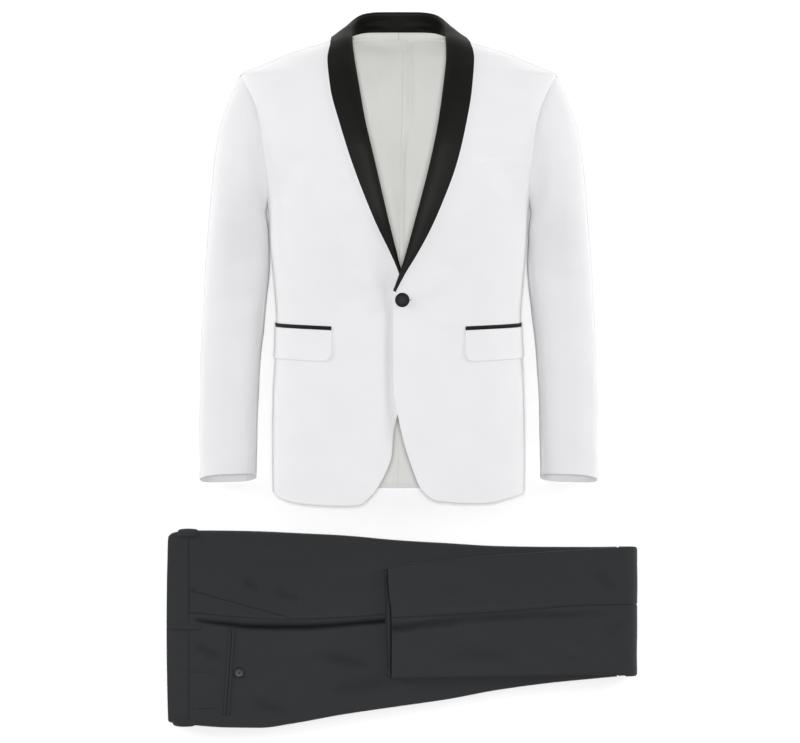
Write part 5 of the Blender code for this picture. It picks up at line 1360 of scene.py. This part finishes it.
def legPiece(name, node, rows, low, high, cols, lip, outer, flat, area, lift=0.0, thick=None, shift=None,
             part=None, rim=None, held="folded", hem=None):
    # a piece of a leg from q low to q high: it is lifted by the folds of its part of the leg, moved along the
    # leg by shift, and shade is painted into its colour in the folds and along its last row, by what hem
    # names
    q = across(rows, low, high, cols, lip)
    fold = legFolds(rows, q, part) if part else 0 * q
    surface = lying(rows, q, lift + fold, outer)
    if shift is not None:
        surface[..., 0] += shift(surface)
    out = rows[1] * (1 if outer else -1)
    normal = normalsOf(surface)[:, surface.shape[1] // 2]
    side = 1 if (normal[:, 0] * out[:, 0] + normal[:, 2] * out[:, 1]).sum() > 0 else -1
    paintedShade = legPaintedShade(rows, q, fold, part) if part else 0 * q
    # painted shade along the piece's last row
    if hem:
        along, (paintedDark, wide) = runs(surface)[1], legs[hem]
        paintedShade += paintedDark * bump(along[-1] - along, wide)
    piece = shell(name, surface, [looks["charcoalWool"]], thick or cloth["trousers"], side=side, rim=rim,
                  paintedShade=np.clip(paintedShade, 0, 1))
    declare(node)


def onLeg(name, x, y, long, wide, look="darkThread", off=0.0001, high=0.0003):
    # stitches laid on the upper leg at given places
    rows, q = stack(x), np.asarray(y)[:, None]
    path = lying(rows, q, legFolds(rows, q, "thigh") + off, False)[:, 0]
    stitches(name, path, np.tile((0.0, 0.0, 1.0), (len(x), 1)), looks[look], long, wide, high)


rightLeg = {
    "to": 0.335, "rows": 185, "columns": (46, 64),  # of the front and the back panel
    "front": ((0.15, 0.67), 0.083), "back": ((0.2, 0.67), 0.112),  # flat size and area
    # the slant pocket's facing: how far it lies below the cloth, its thickness, and how far it runs on past
    # the opening's end, inside the opening and beside the seam
    "facing": ((0.05, 0.16), 0.0035), "facingSunk": 0.0007, "facingThick": 0.001,
    "facingPast": 0.004, "facingInside": 0.001, "facingLeast": 0.0013, "facingColumns": 10,
    "slantRoom": 0.002,  # from the last stitch to the opening's end
}


def makeRightLeg():
    # the outer side of the right leg, which lies uppermost: front and back panels, the slant pocket's facing
    x = np.linspace(legs["bandX"], rightLeg["to"], rightLeg["rows"])
    rows, seam, slantEnd = stack(x), one(legs["thighSeam"], x), legs["slant"][-1][0]
    opening = np.where(x <= slantEnd, one(legs["slant"], x), seam + cloth["gap"])
    rim, edge = legs["seamRim"], cloth["rim"]
    inFront, behind = rightLeg["columns"]
    legPiece("legRightFront", "leg_right_front", rows, opening, wrapped(rows, "front"), inFront, "front",
             False, *rightLeg["front"], part="thigh", rim=(rim, edge, rim, edge))
    legPiece("legRightBack", "leg_right_back", rows, wrapped(rows, "back"), seam, behind, "back",
             False, *rightLeg["back"], part="thigh", rim=(rim, edge, edge, rim))
    x = x[x < slantEnd + rightLeg["facingPast"]]
    rows, seam, opening = stack(x), one(legs["thighSeam"], x), one(legs["slant"], x)
    inside = np.maximum(opening + rightLeg["facingInside"], seam + rightLeg["facingLeast"])
    legPiece("pocketFacing", "pocket_facing", rows, seam + cloth["gap"], inside, rightLeg["facingColumns"],
             None, False, *rightLeg["facing"], lift=-rightLeg["facingSunk"], thick=rightLeg["facingThick"],
             part="thigh")
    x = np.arange(legs["tack"][0], slantEnd - rightLeg["slantRoom"], legs["slantStep"])
    # real topstitching, but in black so that it also paints the shade of the slant opening
    onLeg("slantStitchesAndShade", x, one(legs["slant"], x) + legs["slantEdge"], *legs["slantStitch"], "blackSatin")
    x, y, long, wide = legs["tack"]
    bars = np.linspace(-0.5, 0.5, legs["tackBars"])
    onLeg("barTack", x + long * bars, y + 0 * bars, legs["tackBar"], wide)
    onLeg("barTackEnds", x + np.repeat((-0.4, 0.4), 2) * long, y + np.tile((-0.5, 0.5), 2) * wide,
          *legs["tackEnd"])
    share = np.linspace(0, 1, legs["dartPoints"])
    for number, (x, y, endX, endY) in enumerate(legs["darts"]):
        onLeg(f"dart{number + 1}", x + (endX - x) * share, y + (endY - y) * share, *legs["dartStitch"],
              "blackSatin")


waistband = {
    "rows": 18, "columns": (46, 50),
    "front": ((0.16, 0.036), 0.0056), "back": ((0.17, 0.036), 0.0058),  # flat size and area
}

loops = {
    "wide": 0.0095, "points": 40, "columns": 12,
    # columns: name, node, x of both ends, y of the middle, how far it stands off
    "rows": [("beltLoopSide", "belt_loop_side", -0.3625, -0.3154, -0.399, 0.0004),
             ("beltLoopFront", "belt_loop_front", -0.35, -0.3169, -0.2545, 0.003),
             ("beltLoopBack", "belt_loop_back", -0.359, -0.3216, -0.547, 0.003)],
    # how it stands off on its way; columns: share of the length, share of the most
    "arch": [(0, 0), (0.12, 0.7), (0.5, 1), (0.88, 0.7), (1, 0)],
    "below": (0.0, -0.4, 0.01),  # a place below all of them
    "flatWide": 0.01, "turnedIn": (0.002, 0.001),  # what its ends add to its length and to its area's length
}


def makeWaistband():
    # two bands, a little thicker than the legs' cloth, and the loops over them
    x = np.linspace(legs["waistX"], legs["bandX"] - cloth["gap"], waistband["rows"])
    rows, seam, rim = stack(x), legs["thighSeam"][0][1], legs["waistRim"]
    # shade is painted along the band's seam with the leg
    band = {"lift": legs["band"], "thick": cloth["trousers"] + legs["band"], "shift": waistShift,
            "hem": "waistPaintedShade"}
    inFront, behind = waistband["columns"]
    legPiece("waistbandFront", "waistband_front", rows, seam, wrapped(rows, "front"), inFront, "front",
             False, *waistband["front"], rim=(rim, rim, rim, cloth["rim"]), **band)
    legPiece("waistbandBack", "waistband_back", rows, wrapped(rows, "back"), seam, behind, "back",
             False, *waistband["back"], rim=(rim, rim, cloth["rim"], rim), **band)
    share = np.linspace(0, 1, loops["points"])[:, None]
    paintedDark, wide = legs["waistPaintedShade"]
    for name, node, start, end, middle, bow in loops["rows"]:
        rows = stack(np.linspace(start, end, loops["points"]))
        q = middle + loops["wide"] * np.linspace(-0.5, 0.5, loops["columns"]) + 0 * share
        rise = legs["band"] + cloth["gap"] + bow * one(loops["arch"], share)
        surface = lying(rows, q, rise + cloth["trousers"], False)
        surface[..., 0] += waistShift(surface)
        # painted shade along both edges of each loop
        paintedShade = paintedDark * bump(loops["wide"] / 2 - np.abs(q - middle), wide)
        piece = shell(name, surface, [looks["charcoalWool"]], cloth["trousers"], loops["below"],
                      paintedShade=paintedShade)
        declare(node)


leftLeg = {
    "under": (0.011, 4),  # how far it runs back under the knee, and the rows there
    "roll": 37, "flatRows": 123, "hemRows": 9,  # rows round the knee, along the leg and in its hem
    "hemLong": 0.006, "columns": (46, 50),
    "front": ((0.12, 0.42), 0.044), "back": ((0.14, 0.42), 0.05),  # flat size and area
}


def makeLeftLeg():
    # the inner side of the left leg, folded back on top: round the knee and up to its hem
    (past, first), roll, hemX = leftLeg["under"], leftLeg["roll"], legs["hemX"]
    knee, turns, hemLong = legs["kneeX"], np.linspace(-90, 90, leftLeg["roll"]), leftLeg["hemLong"]
    x = np.concatenate([np.linspace(knee - past, knee, first + 1)[:-1], 0 * turns + knee,
                        np.linspace(knee, hemX + hemLong, leftLeg["flatRows"] + 1)[1:],
                        hemX + hemLong * np.linspace(1, 0, leftLeg["hemRows"] + 1)[1:]])
    rows = joined(stack(x[:first]), stack(x[first:first + roll], turns), stack(x[first + roll:], shin=True))
    seam, rim, seamRim, hemRim = one(legs["shinSeam"], x), cloth["rim"], legs["seamRim"], legs["hemRim"]
    shared = {"lift": hemFall(x)[:, None], "shift": hemShift, "part": "shin", "hem": "hemPaintedShade"}
    inFront, behind = leftLeg["columns"]
    legPiece("legLeftFront", "leg_left_front", rows, seam, wrapped(rows, "front"), inFront, "front",
             True, *leftLeg["front"], rim=(rim, hemRim, seamRim, rim), **shared)
    legPiece("legLeftBack", "leg_left_back", rows, wrapped(rows, "back"), seam, behind, "back",
             True, *leftLeg["back"], rim=(rim, hemRim, rim, seamRim), **shared)


hiddenLegs = {
    "bend": 13, "flat": 11,  # points round each edge of a leg and between them
    "notch": 1.1,  # how far in from an edge the two legs part, in its radius
    "thigh": (0.003, 0.0148, 90),  # how far it stays from the waist and the knee, and its rows
    "kneeFrom": 0.0115, "roll": 25,  # how far before the knee the round starts, and its rows
    "shin": (0.002, 0.009, 60),  # how far it stays from the knee and the hem, and its rows
}


def legTurn(rows):
    # q all round one leg: round its front edge, over its flat and round its back edge
    _, _, thick, front, back = rows
    r = thick / 4
    bend = np.linspace(legs["wrap"], 0.0, hiddenLegs["bend"]) * r
    flat = front - r + (back - front + 2 * r) * np.linspace(0, 1, hiddenLegs["flat"] + 2)[1:-1]
    return np.concatenate([front - r + bend, flat, back + r - bend[:, ::-1]], 1)


def legRing(rows, outerLift, innerLift):
    # closed sections of the folded legs: the outer leg, a notch between the legs, the inner leg, a notch
    middle, _, thick, front, back = rows
    turn, deep = legTurn(rows), hiddenLegs["notch"] * (thick / 4)
    far, near = lying(rows, turn, outerLift, True), lying(rows, turn[:, ::-1], innerLift, False)
    notch = [np.stack([middle[:, :1], y, middle[:, 1:]], -1) for y in (back + deep, front - deep)]
    return np.concatenate([far, notch[0], near, notch[1]], 1)


def makeHiddenLegs():
    # the layers that don't show are one rounded solid under the cloth that shows
    clear = cloth["trousers"] + cloth["gap"]
    knee, turns = legs["kneeX"], np.linspace(-90, 90, hiddenLegs["roll"])
    (atWaist, atKnee, thighRows), (pastKnee, atHem, shinRows) = hiddenLegs["thigh"], hiddenLegs["shin"]
    thigh = stack(np.linspace(legs["waistX"] + atWaist, knee - atKnee, thighRows))
    shin = stack(np.linspace(knee - pastKnee, legs["hemX"] + atHem, shinRows), shin=True)
    rings = np.concatenate([
        legRing(thigh, 0.0, -legs["room"] * thigh[2] / 4),
        legRing(stack(knee - hiddenLegs["kneeFrom"]), -clear, -clear),
        legRing(stack(knee + 0 * turns, turns), -clear, 0.0),
        legRing(shin, -legs["room"] * shin[2] / 4, 0.0)])
    rings[..., 0] += waistShift(rings)
    piece = tube("foldedLayers", rings, [looks["charcoalWool"]])
    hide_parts("folded_layers")


underHem = {
    "shows": 0.0061,  # how far it shows past the left leg's hem
    "slant": (0.0028, -0.39, 0.09),  # x that it slants by, from what y, over what length
    "slantTo": 0.003,  # x past the hem at which the slant has gone
    "rim": 0.0018,  # radius of its edge
    # rows as shares of its length: close together at its edge, then in equal steps from a share to the end
    "near": (0, 0.01, 0.03, 0.06, 0.1), "onward": (0.15, 14),
    "top": (1.2, 0.0004),  # its flat top: how far in from its edges, in their radius, and how far below
    "skipped": 5,  # points of the round left out at each end of the flat top
}


def makeUnderHem():
    # the right leg's hem, which shows past the left leg's, in the lower half of the folded-back stack
    hemX, rim = legs["hemX"], underHem["rim"]
    low, high = hemX - underHem["shows"], hemX + hiddenLegs["shin"][1] - cloth["gap"]
    onward, steps = underHem["onward"]
    x = low + (high - low) * np.concatenate([underHem["near"], np.linspace(onward, 1, steps)])
    rows = stack(x, shin=True)
    middle, _, thick, front, back = rows
    (share, below), skipped = underHem["top"], underHem["skipped"]
    turn, inset = legTurn(rows), share * (thick / 4)
    shrink = rim - np.sqrt(rim**2 - np.clip(rim - (x - low), 0, rim) ** 2)[:, None]
    under = lying(rows, turn, -shrink, False)
    top = np.stack([middle[:, :1] + 0 * turn, np.clip(turn, back + inset, front - inset),
                    middle[:, 1:] - below - shrink + 0 * turn], -1)[:, skipped:-skipped]
    rings = np.concatenate([under, top[:, ::-1]], 1)
    (deep, start, reach), past = underHem["slant"], underHem["slantTo"]
    rings[..., 0] += deep * (start - rings[..., 1]) / reach * ease((hemX - rings[..., 0] + past) / past)
    # painted shade along its outer end and where it passes under the left leg's hem
    paintedDark, wide = legs["underHemPaintedShade"]
    foot = hemX + one(legs["hemLine"], rings[..., 1]) - wide / 2
    paintedShade = paintedDark * (bump(x - low, wide)[:, None] + bump(rings[..., 0] - foot, wide))
    piece = tube("legRightHem", rings, [looks["charcoalWool"]], paintedShade=np.clip(paintedShade, 0, 1))
    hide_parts("leg_right_hem")


backPocket = {
    "x": -0.2713, "top": -0.403, "long": 0.1325, "welt": 0.0041, "thick": 0.002, "mouth": 0.0012,
    "lean": 0.0675,  # how much it slants: x for each y
    "rows": 9, "columns": 60, "rimRoom": 0.0001,
    "flat": (0.1325, 0.01), "area": 0.00063,
    # lines sewn above and below, and a dark strip of stitches in the mouth that paints its shade: distance
    # from the welts, from their ends, stitches, and the length of a stitch and its width outside and in the
    # mouth
    "lineOff": 0.0003, "lineRoom": 0.002, "lineSteps": 46, "lineStitch": 0.0036, "lineWide": (0.0005, 0.0013),
    # tacks across both ends: distance from them, reach in welts above and below, stitches, size
    "tackOff": 0.0006, "tackReach": (-0.9, 1.9), "tackSteps": 6, "tackStitch": (0.002, 0.0009),
    "button": (-0.2529, -0.4708, 0.0085),  # x, y, radius
    # a rim round a sunken middle; columns: share of the radius, height
    "profile": [
        (0, 0.0003), (0.8, 0.0003), (0.96, 0.0008), (1.0, 0.0014), (0.97, 0.002), (0.9, 0.0026),
        (0.82, 0.0029), (0.74, 0.0027), (0.66, 0.0021), (0.58, 0.0018), (0.3, 0.0017), (0, 0.0017),
    ],
    "holes": (0.00126, 0.00075, 0.0012),  # x and y from the middle, radius, depth
    # share of the radius from which a shadow is painted round the button's rim
    "shadowRingFrom": 0.82,
}


def makeBackPocket():
    # two welts beside a slit, the lines and tacks sewn round them, a dark strip in the slit that paints its
    # shade, and a button with four holes
    pocket, welt, top, long = backPocket, backPocket["welt"], backPocket["top"], backPocket["long"]

    def leaning(y):
        # x that the pocket slants by at y, about its middle
        return pocket["lean"] * (y - top + long / 2)

    for name, node, at in (("backWeltUpper", "back_welt_upper", 0.0),
                           ("backWeltLower", "back_welt_lower", welt + pocket["mouth"])):
        rows = stack(pocket["x"] + at + welt * np.linspace(-0.5, 0.5, pocket["rows"]))
        legPiece(name, node, rows, top - long, top, pocket["columns"], None, False, pocket["flat"],
                 pocket["area"], lift=cloth["gap"] + pocket["thick"], thick=pocket["thick"],
                 shift=lambda points: leaning(points[..., 1]), part="thigh",
                 rim=welt / 2 - pocket["rimRoom"], held="laid")
    off, room, (thin, mouthShadeWide) = pocket["lineOff"], pocket["lineRoom"], pocket["lineWide"]
    y = top - np.linspace(room, long - room, pocket["lineSteps"])
    for name, at, wide in (("pocketLine1", -0.5 * welt - off, thin),
                           # in the mouth: black stitches as painted shade of the slit
                           ("pocketMouthShade", 0.5 * (welt + pocket["mouth"]), mouthShadeWide),
                           ("pocketLine3", 1.5 * welt + pocket["mouth"] + off, thin)):
        onLeg(name, pocket["x"] + at + leaning(y), y, pocket["lineStitch"], wide, "blackSatin")
    for name, y in (("pocketTackUpper", top + pocket["tackOff"]),
                    ("pocketTackLower", top - long - pocket["tackOff"])):
        x = pocket["x"] + welt * np.linspace(*pocket["tackReach"], pocket["tackSteps"]) + leaning(y)
        onLeg(name, x, 0 * x + y, *pocket["tackStitch"], "blackSatin")
    x, y, radius = pocket["button"]
    seat = lying(stack(x), np.array([[y]]), 0.0, False)[0, 0]
    away, wide, deep = pocket["holes"]
    holes = [(dx, dy, wide, deep) for dx in (-away, away) for dy in (-away, away)]
    profile = [(share * radius, height) for share, height in pocket["profile"]]
    piece = lathe("backPocketButton", profile, seat, [looks["hornButton"]], holes, pocket["shadowRingFrom"])
    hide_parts("back_pocket_button")


makeHiddenLegs()
makeRightLeg()
makeWaistband()
makeLeftLeg()
makeUnderHem()
makeBackPocket()
print("trousers made")

scene = bpy.context.scene
ground = {"half": 4, "colour": (0.98, 0.98, 0.98, 1), "rough": 0.9}
floorMesh = bpy.data.meshes.new("floor")
half = ground["half"]
floorMesh.from_pydata([(-half, -half, 0), (half, -half, 0), (half, half, 0), (-half, half, 0)], [],
                      [(0, 1, 2, 3)])
floor = bpy.data.objects.new("floor", floorMesh)
scene.collection.objects.link(floor)
pale = bpy.data.materials.new("paleFloor")
pale.use_nodes = True
shader = pale.node_tree.nodes["Principled BSDF"]
shader.inputs["Base Color"].default_value = ground["colour"]
shader.inputs["Roughness"].default_value = ground["rough"]
floorMesh.materials.append(pale)

camera = {
    "at": (-0.0029, -0.0014, 7.6),
    "across": 1.248,  # metres of the surface across the frame
    "sensor": 36, "sees": 50,  # millimetres of the sensor, metres that it sees
}
eye = bpy.data.cameras.new("camera")
eye.sensor_width, eye.lens = camera["sensor"], camera["sensor"] * camera["at"][2] / camera["across"]
eye.clip_end = camera["sees"]
cameraObject = bpy.data.objects.new("camera", eye)
cameraObject.location = camera["at"]
scene.collection.objects.link(cameraObject)
scene.camera = cameraObject

light = {
    "sky": 0.2,
    # one lamp in front and one at each side; columns: x, y, z, size, watts
    "soft": [(0.0, 0.0, 7.9, 0.5, 475), (-3.3, 1.1, 1.3, 1.6, 48), (3.3, 1.1, 1.3, 1.6, 48)],
    "towards": (0, 0, 0.1),
}
world = bpy.data.worlds.new("studio")
world.use_nodes = True
sky = world.node_tree.nodes["Background"]
sky.inputs["Color"].default_value = (1, 1, 1, 1)
sky.inputs["Strength"].default_value = light["sky"]
scene.world = world
for number, (x, y, z, size, watts) in enumerate(light["soft"]):
    lamp = bpy.data.lights.new(f"soft{number}", "AREA")
    lamp.size, lamp.energy = size, watts
    lampObject = bpy.data.objects.new(f"soft{number}", lamp)
    lampObject.location = (x, y, z)
    way = Vector(light["towards"]) - lampObject.location
    lampObject.rotation_euler = way.to_track_quat("-Z", "Y").to_euler()
    scene.collection.objects.link(lampObject)
scene.view_settings.view_transform = "Standard"
print("stage set")
